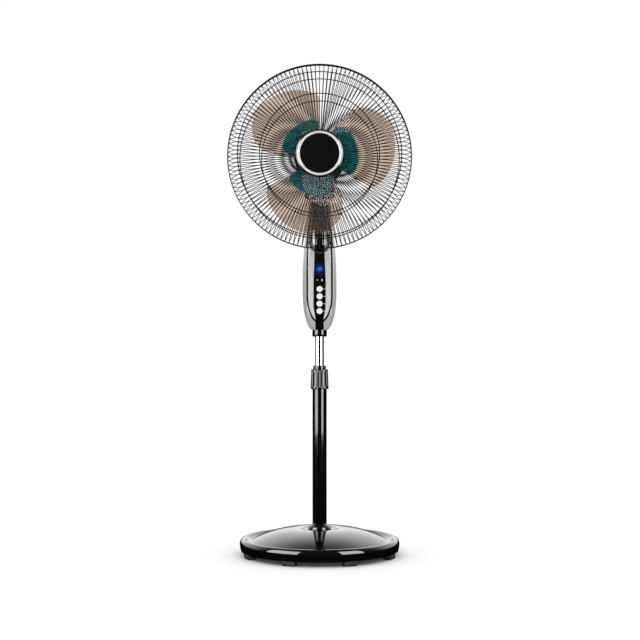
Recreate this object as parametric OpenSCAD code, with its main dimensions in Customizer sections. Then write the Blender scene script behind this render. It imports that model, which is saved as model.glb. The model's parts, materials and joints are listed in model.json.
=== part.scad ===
// Pedestal fan, 16 inch guard, round base, height-adjustable column.
// Millimetres, +Z up, origin on the floor under the column, front toward -Y.

/* [Base] */
// Overall diameter of the round base
base_d = 394; // [386:1:400]
// Height of the top of the domed cover
dome_top = 66; // [64:0.5:68]
// Wall of the base cover
base_wall = 2.5; // [2:0.1:3]
// Number of rubber feet
foot_count = 8; // [6:1:10]
// Height of a rubber foot
foot_h = 12; // [12]

/* [Column] */
// Outside diameter of the lower tube
outer_tube_d = 35; // [35]
// Outside diameter of the sliding tube
inner_tube_d = 21.4; // [21.4]
// Bottom of the ribbed height lock collar
collar_z = 409; // [405:1:412]
// Number of ribs round the lock collar
collar_ribs = 20; // [14:1:24]

/* [Control housing] */
// Widest half-width of the housing
house_w = 41.6; // [40:0.1:43]
// Half-depth of the housing
house_depth = 28; // [27.6:0.1:29]
// Height of the widest point
house_z = 655; // [650:1:660]
// Wall of the housing shells
house_wall = 2.5; // [2:0.1:2.8]
// Diameter of a push button
button_d = 14.7; // [12:0.1:15]
// Spacing of the push buttons
button_pitch = 18; // [17:0.5:18]

/* [Neck] */
// Height of the tilt axis
tilt_z = 769; // [769]
// Radius of the round lower end of the neck
ball_r = 26; // [25:0.5:26]
// Height of the top of the neck
neck_top = 869; // [869]

/* [Motor] */
// Height of the motor shaft
head_z = 970; // [970]
// Radius of the motor housing
motor_r = 60; // [59:0.5:62]
// Wall of the motor housing
motor_wall = 2.2; // [1.8:0.1:2.4]

/* [Guard] */
// Radius of the guard at the rim, to the middle of the wires
rim_r = 217.5; // [217.5]
// Number of radial wires in each half of the guard
wire_count = 128; // [32:8:128]
// Diameter of a guard wire
wire_d = 1.9; // [1.6:0.1:2]
// Diameter of a guard ring
ring_d = 2.4; // [2:0.1:2.6]

/* [Blades] */
// Number of blades
blade_count = 3; // [3]
// Radius of the blade tips
tip_r = 187; // [180:1:190]
// Thickness of a blade
blade_t = 2; // [1.6:0.1:2.4]

/* [Hidden] */
$fn = 64;
e = 0.01;
steps = 24;

silver = [0.78, 0.78, 0.79];
chrome = [0.88, 0.88, 0.9];
gloss_black = [0.05, 0.05, 0.06];
dark_grey = [0.18, 0.18, 0.21];
steel = [0.6, 0.6, 0.62];
smoke = [0.45, 0.36, 0.3, 0.75];
teal = [0.05, 0.42, 0.45, 0.85];
white = [0.96, 0.96, 0.95];

// Base levels and radii
base_r = base_d / 2;
plate_z = foot_h;
weight_z = 14.3;
weight_t = 3;
foot_ring = 183;
foot_w = 20;
foot_angle = 9.4;

// Column levels
tube_bottom = 30;
tube_top = 448;
collar_top = 458;
slide_bottom = 150;
slide_top = 586;
house_bottom = 554.5;

// Head levels, f is the distance in front of the column axis
plate_f = 41.32;
rim_f = 113;
front_f = 183;
split_f = 8;
rotor_f = 113;

// Oscillation linkage, a parallelogram of gear axis, crank pin and anchor
crank_y = 34;
crank_r = 12;
pinion_x = -14.6;
pinion_y = 19.9;
crank_teeth = 24;
pinion_teeth = 8;
mesh_angle = atan2(pinion_y - crank_y, pinion_x);
link_z = 897.3;
gear_z = 900.5;

// Points of a line moved sideways by t, to the left of its direction
function moved(p, t) = [for (i = [0 : len(p) - 1])
  let (a = p[max(i - 1, 0)], b = p[min(i + 1, len(p) - 1)], d = (b - a) / norm(b - a))
  p[i] + t * [-d[1], d[0]]];
function flipped(p) = [for (i = [len(p) - 1 : -1 : 0]) p[i]];
function mirrored(p) = [for (q = p) [-q[0], q[1]]];

// Housing outline: half-width and half-depth at a height
function low_part(z) = max(0, 1 - pow(max(0, (house_z - z) / (house_z - house_bottom)), 2.4));
function half_w(z) = z < house_z
  ? 18 + (house_w - 18) * pow(low_part(z), 0.6)
  : house_w - 7.3 * pow((z - house_z) / 142, 2.2);
function half_d(z) = z < house_z
  ? 16 + (house_depth - 16) * pow(low_part(z), 0.6)
  : sqrt(max(1, pow(house_depth, 2) - pow(max(0, z - tilt_z), 2)));
function neck_w(z) = 25.5 + 8.2 * pow(max(0, (neck_top - z) / 69), 1.25);
function neck_d(z) = 22 + 5 * (neck_top - z) / 69;
function panel_w(z) = z < 640 ? 29.5 * sqrt(max(0, 1 - pow((640 - z) / 66, 2))) : 29.5;

// Heights that follow the housing, closer together near its bottom
house_levels = [for (i = [0 : steps]) house_bottom + (house_z - house_bottom) * pow(i / steps, 1.8)];
upper_levels = [for (i = [1 : 5]) house_z + (tilt_z - house_z) * i / 5];
cap_levels = [for (a = [10 : 10 : 80]) tilt_z + house_depth * sin(a)];
all_levels = concat(house_levels, upper_levels, cap_levels, [tilt_z + house_depth]);

module front_axis() translate([0, 0, head_z]) rotate([90, 0, 0]) children();
module ring(r1, r2, h) difference() {
  cylinder(r = r2, h = h);
  translate([0, 0, -1]) cylinder(r = r1, h = h + 2);
}
module around(n, offset = 0) for (i = [0 : n - 1]) rotate([0, 0, offset + i * 360 / n]) children();
module turned(points) rotate_extrude() polygon(points);

// ---------------------------------------------------------------- base
base_line = concat(
  [[194, plate_z], [196, 20], [base_r, 27], [196.5, 32], [194, 37], [190, 40.5],
   [185, 41.3], [180, 39], [174.5, 35.4], [171, 35]],
  [for (i = [1 : 16]) let (r = 171 - 121 * i / 16)
    [r, dome_top - (dome_top - 35) * pow((r - 50) / 121, 2)]],
  [[40, dome_top - 1.4], [31, dome_top - 3.4], [19, dome_top - 3.5]]);

module base_cover() color(gloss_black)
  turned(concat(base_line, flipped(moved(base_line, base_wall))));

module base_weight() color(steel) difference() {
  translate([0, 0, weight_z]) cylinder(r = 188, h = weight_t);
  translate([0, 0, weight_z - 1]) cylinder(r = 4.3, h = weight_t + 2);
  around(foot_count, 180 / foot_count) translate([foot_ring, 0, weight_z - 1]) cylinder(r = 2.05, h = 6);
}

module base_plate() color(dark_grey) difference() {
  translate([0, 0, plate_z]) cylinder(r = 191, h = weight_z - plate_z);
  translate([0, 0, plate_z - 1]) cylinder(r = 30, h = 5);
  around(foot_count, 180 / foot_count) translate([foot_ring, 0, plate_z - 1]) cylinder(r = 2.3, h = 5);
}

module feet() color(gloss_black) around(foot_count, 180 / foot_count) difference() {
  rotate([0, 0, -foot_angle / 2]) rotate_extrude(angle = foot_angle)
    polygon([[foot_ring - foot_w / 2 + 1, 0], [foot_ring + foot_w / 2 - 1, 0],
             [foot_ring + foot_w / 2, 1.5], [foot_ring + foot_w / 2, foot_h],
             [foot_ring - foot_w / 2, foot_h], [foot_ring - foot_w / 2, 1.5]]);
  translate([foot_ring, 0, -1]) cylinder(r = 4.3, h = 6);
  translate([foot_ring, 0, -1]) cylinder(r = 2.3, h = foot_h + 2);
}

module foot_screws() color(steel) around(foot_count, 180 / foot_count) translate([foot_ring, 0, 0]) {
  difference() {
    translate([0, 0, 2.5]) cylinder(r = 4, h = 2.5);
    translate([-3, -0.5, 2]) cube([6, 1, 1.5]);
    translate([-0.5, -3, 2]) cube([1, 6, 1.5]);
  }
  translate([0, 0, 4]) cylinder(r = 2, h = 12.8);
}

module pole_socket() color(steel) difference() {
  turned([[4.3, weight_z + weight_t], [38, weight_z + weight_t], [38, weight_z + weight_t + 2.5],
          [23, weight_z + weight_t + 3.2], [21.5, 26], [21.5, 58], [17.55, 58],
          [17.55, tube_bottom], [4.3, tube_bottom]]);
  around(4, 45) translate([31, 0, 15]) cylinder(r = 2.2, h = 8);
}

module pole_bolt() color(steel) {
  translate([0, 0, 6.8]) cylinder(r = 7.5, h = 5.5, $fn = 6);
  translate([0, 0, 12.3]) ring(4.2, 12, 2);
  translate([0, 0, 12.29]) cylinder(r = 4, h = 41);
}

module pole_knuckle() color(gloss_black)
  turned(concat(
    [[17.58, dome_top - 3.36], [28.2, dome_top - 3.36], [28.6, dome_top - 2.6]],
    [for (a = [8 : 8 : 72]) [18.4 + 10.2 * cos(a), dome_top - 2.4 + 11.2 * sin(a)]],
    [[20.4, dome_top + 9.4], [19.2, dome_top + 11.5], [17.58, dome_top + 12]]));

// -------------------------------------------------------------- column
module outer_tube() color(gloss_black) difference() {
  translate([0, 0, tube_bottom]) cylinder(d = outer_tube_d, h = tube_top - tube_bottom);
  translate([0, 0, tube_bottom + 26]) cylinder(r = outer_tube_d / 2 - 2, h = tube_top);
  translate([0, 0, tube_bottom - 1]) cylinder(r = 4.05, h = 40);
}

module tube_bush() color(dark_grey) difference() {
  union() {
    translate([0, 0, 385]) cylinder(r = 15.45, h = tube_top - 385 + e);
    translate([0, 0, tube_top]) cylinder(r = 17.2, h = 3);
  }
  translate([0, 0, 380]) cylinder(r = inner_tube_d / 2 + 0.08, h = 80);
}

module collar_ring() color(gloss_black) difference() {
  turned([[10.78, 451], [12.5, 451], [12.5, 458.4], [15, 458.4], [15.75, 459.4],
          [15.75, 465.6], [14.4, 467], [10.78, 467]]);
  translate([10, -0.8, 450]) cube([8, 1.6, 20]);
}

module lock_collar() color(gloss_black) difference() {
  turned([[17.58, collar_z], [21.6, collar_z], [22.35, collar_z + 1],
          [20.6, collar_top - 1], [19.8, collar_top], [12.9, collar_top],
          [12.9, collar_top - 3], [17.7, collar_top - 5], [17.58, collar_top - 8]]);
  around(collar_ribs) translate([22.9, 0, collar_z - 1]) rotate([0, -2, 0]) cylinder(r = 1.9, h = 60, $fn = 24);
}

module inner_tube() color(chrome) {
  translate([0, 0, slide_bottom]) ring(9.2, inner_tube_d / 2, slide_top - slide_bottom);
  translate([0, 0, slide_bottom]) ring(inner_tube_d / 2 - e, 15.2, 14);
}

// ----------------------------------------------------- control housing
house_rev = [for (z = all_levels) [half_w(z), z]];
function house_side(t) = let (
  low = [for (z = house_levels) [half_d(z) - t, z]],
  cap = [for (a = [10 : 10 : 90]) [(house_depth - t) * cos(a), tilt_z + (house_depth - t) * sin(a)]],
  edge = concat(low, [[house_depth - t, tilt_z]], cap))
  concat(edge, flipped(mirrored(edge)));

module house_solid(t = 0) intersection() {
  turned(concat([[0, house_bottom + t]], [for (p = house_rev) [p[0] - t, max(p[1], house_bottom + t)]],
                [[0, all_levels[len(all_levels) - 1]]]));
  rotate([90, 0, 90]) translate([0, 0, -60]) linear_extrude(120)
    intersection() {
      polygon(house_side(t));
      translate([-60, house_bottom + t]) square([120, 400]);
    }
}
module yoke_gap() {
  translate([0, 60, tilt_z]) rotate([90, 0, 0]) cylinder(r = ball_r + 0.5, h = 120);
  translate([-ball_r - 0.5, -60, tilt_z]) cube([2 * ball_r + 1, 120, 60]);
}
screw_spots = [[-25, 592], [25, 592], [-28, 716], [28, 716]];
module at_screws() for (p = screw_spots) translate([p[0], 0, p[1]]) rotate([90, 0, 0]) children();
module face_layer(t0, t1) rotate([90, 0, 90]) translate([0, 0, -60]) linear_extrude(120)
  polygon(concat([for (z = all_levels) [-half_d(z) - t0, z]], flipped([for (z = all_levels) [-half_d(z) + t1, z]])));
panel_levels = [for (i = [0 : 16]) 574 + 66 * pow(i / 16, 1.7)];
function panel_edge(t) = let (
  side = concat([for (z = panel_levels) [panel_w(z), z]], [[29.5, 700], [28.6, 745], [27.4, 775], [26.8, 792]]))
  moved(side, -t);
module panel_shape(t, base_z) polygon(concat([[0, base_z]], panel_edge(t), [[0, 792]]));
module both_sides() { children(); mirror([1, 0, 0]) children(); }
module face_cut(t) both_sides() rotate([90, 0, 0]) linear_extrude(60) panel_shape(t, 574 - t);
strip_edge = [[10, 550], [10, 584], [14.8, 612], [14.8, 672], [13.5, 704], [12, 745]];
module strip_cut(t) rotate([90, 0, 0]) linear_extrude(60)
  polygon(concat([for (p = strip_edge) p + [t, 0]], flipped([for (p = strip_edge) [-p[0] - t, p[1]]])));

module rear_shell() color(silver) difference() {
  union() {
    difference() {
      house_solid();
      house_solid(house_wall);
    }
    intersection() {
      at_screws() translate([0, 0, -60]) cylinder(r = 4.5, h = 60);
      house_solid(house_wall - 0.5);
    }
  }
  translate([-60, -60, 500]) cube([120, 60, 400]);
  yoke_gap();
  translate([0, 0, 540]) cylinder(r = 14.05, h = 30);
  at_screws() translate([0, 0, -60]) cylinder(r = 1.7, h = 61);
  at_screws() translate([0, 0, -60]) cylinder(r = 3.4, h = 40.5);
  translate([0, 0, 574]) rotate([-90, 0, 0]) cylinder(r = 6.05, h = 40);
}

module front_shell() color(silver) difference() {
  union() {
    difference() {
      house_solid();
      house_solid(house_wall);
    }
    intersection() {
      at_screws() translate([0, 0, 0]) cylinder(r = 3.6, h = 60);
      house_solid(house_wall + 2.2);
    }
  }
  translate([-60, 0, 500]) cube([120, 60, 400]);
  yoke_gap();
  translate([0, 0, 540]) cylinder(r = 14.05, h = 30);
  at_screws() translate([0, 0, -1]) cylinder(r = 1.55, h = 14);
  intersection() {
    face_cut(1.7);
    translate([-60, -60, 500]) cube([120, 44, 400]);
  }
  intersection() {
    strip_cut(0.02);
    translate([-60, -60, 500]) cube([120, 47, 400]);
  }
}

module face_panel() color(chrome) difference() {
  intersection() {
    face_layer(-0.2, 3.6);
    face_cut(-1.5);
  }
  strip_cut(0.02);
  yoke_gap();
}

module trim_line() color(gloss_black) difference() {
  intersection() {
    face_layer(0.4, 3.4);
    face_cut(1.65);
  }
  face_cut(-1.45);
  strip_cut(0.02);
  translate([-60, -16.04, 500]) cube([120, 60, 400]);
  yoke_gap();
}

button_levels = [for (i = [0 : 3]) house_z - i * button_pitch];
module control_strip() color(gloss_black) difference() {
  intersection() {
    face_layer(0.7, 3.6);
    strip_cut(0);
    translate([-30, -60, house_bottom + 1.5]) cube([60, 60, 300]);
  }
  yoke_gap();
  for (z = button_levels) translate([0, 0, z]) rotate([90, 0, 0]) cylinder(r = button_d / 2 + 0.08, h = 60);
  translate([0, 0, 704]) rotate([90, 0, 0]) cylinder(r = 5.05, h = 60);
}

module light_window() color([0.1, 0.2, 0.9]) {
  translate([0, 0, 704]) rotate([90, 0, 0]) {
    translate([0, 0, 20]) cylinder(r = 5, h = house_depth - 19.3);
    translate([0, 0, 20]) cylinder(r = 7, h = house_depth - 24.2);
  }
}

module button(z) color(white) translate([0, 0, z]) rotate([90, 0, 0]) {
  f = half_d(z);
  rotate_extrude() polygon([[0, f - 8.5], [2, f - 8.5], [2, f - 6.4], [8.4, f - 6.4], [8.4, f - 4.6],
    [button_d / 2, f - 4.6], [button_d / 2, f + 1.6], [button_d / 2 - 0.6, f + 2.2],
    [button_d / 2 - 1.6, f + 2.5], [0, f + 2.7]]);
}
module button_1() button(button_levels[0]);
module button_2() button(button_levels[1]);
module button_3() button(button_levels[2]);
module button_4() button(button_levels[3]);

module control_board() color([0.1, 0.35, 0.15]) {
  difference() {
    translate([-12, -13, 588]) cube([24, 1.6, 104]);
    for (x = [-9, 9], z = [592, 688]) translate([x, 0, z]) rotate([90, 0, 0]) cylinder(r = 1.4, h = 20);
  }
  for (z = button_levels) {
    f = half_d(z);
    translate([-3, 10.98 - f, z - 3]) cube([6, f - 23.99, 6]);
    translate([0, 10.99 - f, z]) rotate([90, 0, 0]) cylinder(r = 1.7, h = 0.8);
  }
}

module housing_screws() color(steel) at_screws() {
  difference() {
    translate([0, 0, -21.9]) cylinder(r = 3.2, h = 2.4);
    translate([-2.6, -0.4, -22.5]) cube([5.2, 0.8, 1.4]);
    translate([-0.4, -2.6, -22.5]) cube([0.8, 5.2, 1.4]);
  }
  translate([0, 0, -19.51]) cylinder(r = 1.5, h = 31);
}

module cord_gland() color(gloss_black) translate([0, 0, 574]) rotate([-90, 0, 0]) difference() {
  union() {
    translate([0, 0, 16.5]) cylinder(r = 6, h = 9);
    translate([0, 0, 25.2]) cylinder(r1 = 8.5, r2 = 7, h = 4);
    translate([0, 0, 16.3]) cylinder(r = 7.3, h = 1.5);
  }
  translate([0, 0, 5]) cylinder(r = 3.4, h = 40);
}

module housing_collar() color(gloss_black) difference() {
  turned([[10.75, 538], [17.4, 538], [18, 538.8], [18, house_bottom - 0.2],
          [13.9, house_bottom - 0.2], [13.9, house_bottom + 6], [10.75, house_bottom + 6]]);
  translate([0, 0, 546]) rotate([0, 90, 0]) cylinder(r = 2, h = 30);
}

module tube_socket() color(dark_grey) difference() {
  union() {
    translate([0, 0, house_bottom + 6.2]) cylinder(r = 14, h = 25.8);
    translate([-15.5, 0, house_bottom + 14]) cube([31, 10, 18]);
  }
  translate([0, 0, 540]) cylinder(r = 10.75, h = 80);
}

module tilt_bracket() color(steel) difference() {
  union() {
    for (side = [-1, 1]) translate([side * 27.6 - 1, 0, tilt_z]) rotate([0, 90, 0]) cylinder(r = 24.2, h = 2);
    for (side = [-1, 1]) translate([side * 27.6 - 1, -13, 732.5]) cube([2, 26, 20]);
    translate([-28.6, -13, 730]) cube([57.2, 26, 2.51]);
  }
  translate([-40, 0, tilt_z]) rotate([0, 90, 0]) cylinder(r = 4.05, h = 80);
  translate([-40, 15.8, 700]) cube([80, 20, 120]);
}

module tilt_bolt() color(steel) translate([0, 0, tilt_z]) rotate([0, 90, 0]) {
  translate([0, 0, -32.6]) cylinder(r = 6.4, h = 3.6, $fn = 6);
  translate([0, 0, -29.01]) cylinder(r = 4, h = 62);
}

module tilt_nut() color(steel) translate([0, 0, tilt_z]) rotate([0, 90, 0]) {
  translate([0, 0, 28.62]) ring(4.02, 8.5, 1);
  translate([0, 0, 29.63]) difference() {
    cylinder(r = 6.4, h = 3, $fn = 6);
    translate([0, 0, -1]) cylinder(r = 4.02, h = 6);
  }
}

// ---------------------------------------------------------------- neck
neck_levels = [for (i = [0 : 12]) 799 + (neck_top - 799) * i / 12];
module neck_solid(t = 0) {
  intersection() {
    turned(concat([[0, 799 - t]], [for (z = neck_levels) [neck_w(z) - t, z - t]], [[0, neck_top - t]]));
    rotate([90, 0, 90]) translate([0, 0, -60]) linear_extrude(120) polygon([
      [-neck_d(799) + t, 799 - t], [-neck_d(neck_top) + t, neck_top - t],
      [neck_d(neck_top) - t, neck_top - t], [neck_d(799) - t, 799 - t]]);
  }
  translate([0, 0, tilt_z]) cylinder(r = ball_r - t, h = 31);
  translate([0, 0, tilt_z]) sphere(r = ball_r - t);
}
module neck_band(t) intersection() {
  difference() {
    translate([-12 - t, -60, tilt_z - 40]) cube([24 + 2 * t, 55, 200]);
    neck_solid(2);
  }
  neck_solid();
}

module neck() color(silver) difference() {
  neck_solid();
  neck_band(0.02);
  intersection() {
    turned([[0, 806], [neck_w(806) - 3, 806], [neck_w(864) - 3, 864], [0, 864]]);
    translate([-60, -19, 800]) cube([120, 38, 80]);
    difference() {
      translate([-60, -60, 800]) cube([120, 120, 80]);
      translate([0, 0, 800]) cylinder(r = 9, h = 80);
    }
  }
  translate([-60, 0, tilt_z]) rotate([0, 90, 0]) cylinder(r = 4.05, h = 120);
  translate([0, 0, 838]) cylinder(r = 5.02, h = 60);
}

module neck_strip() color(gloss_black) neck_band(0);

module swivel_post() color(steel) {
  translate([0, 0, 838.2]) cylinder(r = 5, h = 55.4);
  translate([0, 0, 893.5]) cylinder(r = 4.2, h = 1.2);
  translate([0, 0, 894.6]) cylinder(r = 5, h = 2);
  translate([0, 0, 893.8]) ring(4.2, 7.4, 0.8);
  difference() {
    translate([0, 0, neck_top + e]) cylinder(r = 19, h = 3);
    for (a = [90, 210, 330]) rotate([0, 0, a]) translate([14.5, 0, 860]) cylinder(r = 1.8, h = 20);
  }
  translate([crank_r, 0, neck_top + 1]) cylinder(r = 2.6, h = 24);
  translate([crank_r, 0, neck_top + 20]) cylinder(r = 2, h = 12.4);
}

// ---------------------------------------------------------------- head
function motor_line(t) = concat(
  [[0, 40 - t], [46 - t, 40 - t]],
  [for (a = [75 : -15 : 0]) [46 + (motor_r - 46 - t) * cos(a), 26 + (14 - t) * sin(a)]],
  [for (i = [1 : 18]) let (u = i / 18) [(motor_r - t) * pow(max(0, 1 - pow(u, 2.6)), 0.5), 10 - (78 - t) * u]]);
function chin(t) = [for (a = [0 : 6 : 354])
  [(36 - t) * cos(a), sin(a) > 0 ? (54 - t) * sin(a) : (34 - t) * sin(a)]];
module motor_body(t) {
  front_axis() turned(motor_line(t));
  translate([0, 0, 880 + t]) linear_extrude(60) polygon(chin(t));
}
module motor_shell() difference() {
  motor_body(0);
  motor_body(motor_wall);
  translate([0, 0, 870]) cylinder(r = 17, h = 20);
}

module motor_front_cover() color(dark_grey) {
  difference() {
    motor_shell();
    translate([-100, -split_f, 800]) cube([200, 200, 400]);
    front_axis() translate([0, 0, 30]) cylinder(r = 13, h = 40);
  }
  front_axis() difference() {
    union() {
      translate([0, 0, 39]) cylinder(r = 20, h = 20);
      translate([0, 0, 39]) cylinder(r = 28, h = plate_f - 39.02);
    }
    translate([0, 0, 30]) cylinder(r = 13, h = 40);
  }
}

module motor_rear_cover() color(dark_grey) difference() {
  motor_shell();
  translate([-100, -200 - split_f, 800]) cube([200, 200, 400]);
  front_axis() around(16) translate([18, -1.6, -90]) cube([22, 3.2, 40]);
  translate([pinion_x, pinion_y, 1000]) cylinder(r = 4.6, h = 60);
}

module motor_front_bracket() color(steel) front_axis() difference() {
  union() {
    translate([0, 0, 34]) cylinder(r = 49.5, h = 3);
    translate([0, 0, 34]) cylinder(r = 12.5, h = 9);
    around(4, 45) translate([49, 0, 0.02]) cylinder(r = 2.9, h = 35);
  }
  translate([0, 0, 20]) cylinder(r = 9.02, h = 40);
  around(6, 30) translate([34, 0, 20]) cylinder(r = 8, h = 40);
}

module motor_rear_bracket() color(steel) front_axis() difference() {
  union() {
    translate([0, 0, -3]) cylinder(r = 52, h = 3);
    translate([0, 0, -5]) cylinder(r = 12.5, h = 5);
  }
  translate([0, 0, -20]) cylinder(r = 9.02, h = 40);
  around(6, 30) translate([34, 0, -20]) cylinder(r = 8, h = 40);
}

module stator() color(steel) front_axis() difference() {
  translate([0, 0, 8]) cylinder(r = 46, h = 20);
  translate([0, 0, 0]) cylinder(r = 24.5, h = 40);
  around(16) translate([32, 0, 0]) cylinder(r = 3.6, h = 40);
}

module windings() color([0.7, 0.35, 0.15]) front_axis()
  for (f = [1.5, 28.02]) translate([0, 0, f]) rotate_extrude()
    polygon([[27, 0], [38, 0], [40, 1.5], [40, 4], [37, 5.5], [29, 5.5], [27, 4]]);

module bearings() color(steel) front_axis()
  for (f = [35, -4.5]) translate([0, 0, f]) ring(4.04, 9, 4);

module swivel_bracket() color(steel) {
  difference() {
    union() {
      translate([0, 0, 874]) cylinder(r = 8, h = 19.5);
      translate([-32, -4, 885]) cube([30, 10.02, 5]);
      translate([-32, 3.02, 885]) cube([24, 3, 46]);
    }
    translate([0, 0, 860]) cylinder(r = 5.1, h = 60);
  }
}

module gearbox_case() color(dark_grey) difference() {
  union() {
    translate([0, 0, 911]) linear_extrude(76)
      polygon([[-27, 6.1], [8, 6.1], [9, 42], [-8, 44], [-27, 32]]);
    translate([0, crank_y, 909]) cylinder(r = 6, h = 4);
  }
  translate([0, 0, 914]) linear_extrude(70)
    polygon([[-25, 8.3], [6, 8.3], [7, 40], [-7.4, 41.8], [-25, 30.8]]);
  translate([pinion_x, pinion_y, 900]) cylinder(r = 3.05, h = 100);
  translate([0, crank_y, 900]) cylinder(r = 3.05, h = 40);
  front_axis() translate([0, 0, -20]) cylinder(r = 6, h = 30);
}

module guard_nut() color(gloss_black) front_axis() difference() {
  union() {
    translate([0, 0, plate_f + 2.02]) cylinder(r = 31, h = 7);
    translate([0, 0, 50]) cylinder(r = 27, h = 6);
  }
  translate([0, 0, 40]) cylinder(r = 20.05, h = 30);
  around(18) translate([29, 0, 49.5]) cylinder(r = 1.6, h = 8, $fn = 20);
}

// -------------------------------------------------------------- guards
rear_bend = 42.4;
rear_turn = 10.7;
rear_x = rim_r - rear_bend;
rear_f = 105.4;
slope_x = rear_x + rear_bend * sin(rear_turn);
slope_f = rear_f - rear_bend * cos(rear_turn);

// One bent piece of wire: centre, bend radius and the two angles from straight down
module bend(x, f, r, a0, a1, d = wire_d) translate([x, 0, f]) rotate([90, 0, 0])
  rotate([0, 0, a0 - 90]) rotate_extrude(angle = a1 - a0) translate([r, 0]) circle(d = d, $fn = 16);
module guard_ring(r, f) translate([0, 0, f]) rotate_extrude() translate([r, 0]) circle(d = ring_d, $fn = 16);
wire_gap = (wire_d + ring_d) / 2 + 0.02;

// Rear wires run straight out and back to the bend; both rings lie inside them
module rear_guard() color(gloss_black) front_axis() {
  around(wire_count) {
    translate([slope_x, 0, slope_f]) rotate([0, -90 - rear_turn, 0])
      cylinder(d = wire_d, h = (slope_x - 54) / cos(rear_turn), $fn = 16);
    bend(rear_x, rear_f, rear_bend, rear_turn, 90);
  }
  guard_ring(141, slope_f - (slope_x - 141) * tan(rear_turn) + wire_gap / cos(rear_turn));
  guard_ring(193, rear_f - sqrt(pow(rear_bend - wire_gap, 2) - pow(193 - rear_x, 2)));
  translate([0, 0, plate_f]) difference() {
    cylinder(r = 58, h = 2);
    translate([0, 0, -1]) cylinder(r = 20.3, h = 5);
  }
}

front_bend = 20;
front_turn = 70;
bend_f = front_f - front_bend;
side_f = front_f - front_bend * (1 - cos(front_turn));
side_x = rim_r - (side_f - rim_f - 1) / tan(front_turn);
bend_x = side_x - front_bend * sin(front_turn);
module front_guard() color(gloss_black) front_axis() {
  around(wire_count) {
    translate([48, 0, front_f]) rotate([0, 90, 0]) cylinder(d = wire_d, h = bend_x - 48, $fn = 16);
    bend(bend_x, bend_f, front_bend, 180 - front_turn, 180);
    translate([side_x, 0, side_f]) rotate([0, 90 + front_turn, 0])
      cylinder(d = wire_d, h = (side_f - rim_f - 1) / sin(front_turn), $fn = 16);
  }
  guard_ring(141, front_f - wire_gap);
  guard_ring(193, bend_f + sqrt(pow(front_bend - wire_gap, 2) - pow(193 - bend_x, 2)));
}

module rim_ring() color(gloss_black) front_axis() translate([0, 0, rim_f - 9]) rotate_extrude()
  polygon([[218.5, 0], [221, 1.5], [221, 16.5], [218.5, 18]]);

module badge_holder() color(gloss_black) front_axis() {
  translate([0, 0, front_f - 3]) cylinder(r = 56, h = 2);
  translate([0, 0, front_f + 1]) rotate_extrude()
    polygon([[0, 0], [56, 0], [56, 1.6], [55, 2.8], [0, 2.8]]);
}

module badge_ring() color(silver) front_axis() translate([0, 0, front_f + 3.82]) rotate_extrude()
  polygon([[46.6, 0], [54, 0], [54, 1.4], [52.6, 2.6], [48, 2.6], [46.6, 1.6]]);

module badge_cap() color(gloss_black) front_axis() translate([0, 0, front_f + 3.82]) difference() {
  rotate_extrude() polygon([[0, 0], [46.5, 0], [46.5, 1.2], [44, 1.9], [30, 2.4], [0, 2.6]]);
  translate([0, 0, 1.8]) ring(42.6, 43.4, 3);
}

// --------------------------------------------------------------- rotor
module motor_shaft() color(steel) front_axis() {
  translate([0, 0, -12]) cylinder(r = 4, h = 159);
  translate([0, 0, -30]) cylinder(r = 3.6, h = 19);
  translate([0, 0, -28]) linear_extrude(height = 15, twist = -720, slices = 20)
    translate([0.8, 0]) circle(r = 4.1, $fn = 9);
}

module rotor_core() color(steel) front_axis() {
  difference() {
    translate([0, 0, 8]) cylinder(r = 24, h = 20);
    translate([0, 0, 0]) cylinder(r = 4, h = 40);
  }
}

// Blade outline: angle from the straight leading edge at a radius
function lead_angle(r) = r < 144 ? 0 : 0.622 * asin(min(1, pow((r - 144) / (tip_r - 144), 1.43)));
function trail_angle(r) = let (u = max(0, (r - 50) / (tip_r - 50))) 94 - 14 * u - 24 * pow(u, 6);
function small_lead(r) = 12 * pow(max(0, (r - 82) / 10), 2);
function small_trail(r) = 92 - 16 * pow(max(0, (r - 48) / 44), 3);
function lift(r, a) = (a - 47) * 0.5 - 5 * sin(180 * a / 94);

// A thin blade between two edges, nr steps outward and na steps round
module blade_skin(r0, r1, lead, trail, f0, t, nr, na) {
  function spot(i, j, s) = let (
    r = r0 + (r1 - r0) * i / nr,
    a = lead(r) + (trail(r) - lead(r)) * j / na,
    g = f0 + lift(r, a) + s * t / 2)
    [r * cos(a), r * sin(a), g];
  w = na + 1;
  m = (nr + 1) * w;
  points = [for (s = [1, -1], i = [0 : nr], j = [0 : na]) spot(i, j, s)];
  top = [for (i = [0 : nr - 1], j = [0 : na - 1]) let (p = i * w + j)
    each [[p, p + 1, p + w], [p + 1, p + w + 1, p + w]]];
  under = [for (q = top) [q[2] + m, q[1] + m, q[0] + m]];
  rim = concat([for (j = [0 : na]) j], [for (i = [1 : nr]) i * w + na],
    [for (j = [na - 1 : -1 : 0]) nr * w + j], [for (i = [nr - 1 : -1 : 1]) i * w]);
  sides = [for (k = [0 : len(rim) - 1]) let (p = rim[k], q = rim[(k + 1) % len(rim)])
    each [[q, p, q + m], [p, p + m, q + m]]];
  polyhedron(points, concat(under, top, sides));
}

module blade_rotor() color(smoke) front_axis() {
  rotate_extrude() polygon([[4.05, 90], [10, 90], [10, 134], [36.5, 134], [36.5, 84], [39.9, 84],
    [39.9, 136], [37, 139], [4.05, 139]]);
  for (k = [0 : blade_count - 1]) rotate([0, 0, 90 + k * 360 / blade_count])
    blade_skin(39.95, tip_r - 0.5, function(r) lead_angle(r), function(r) trail_angle(r), rotor_f, blade_t, 12, 12);
}

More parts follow.
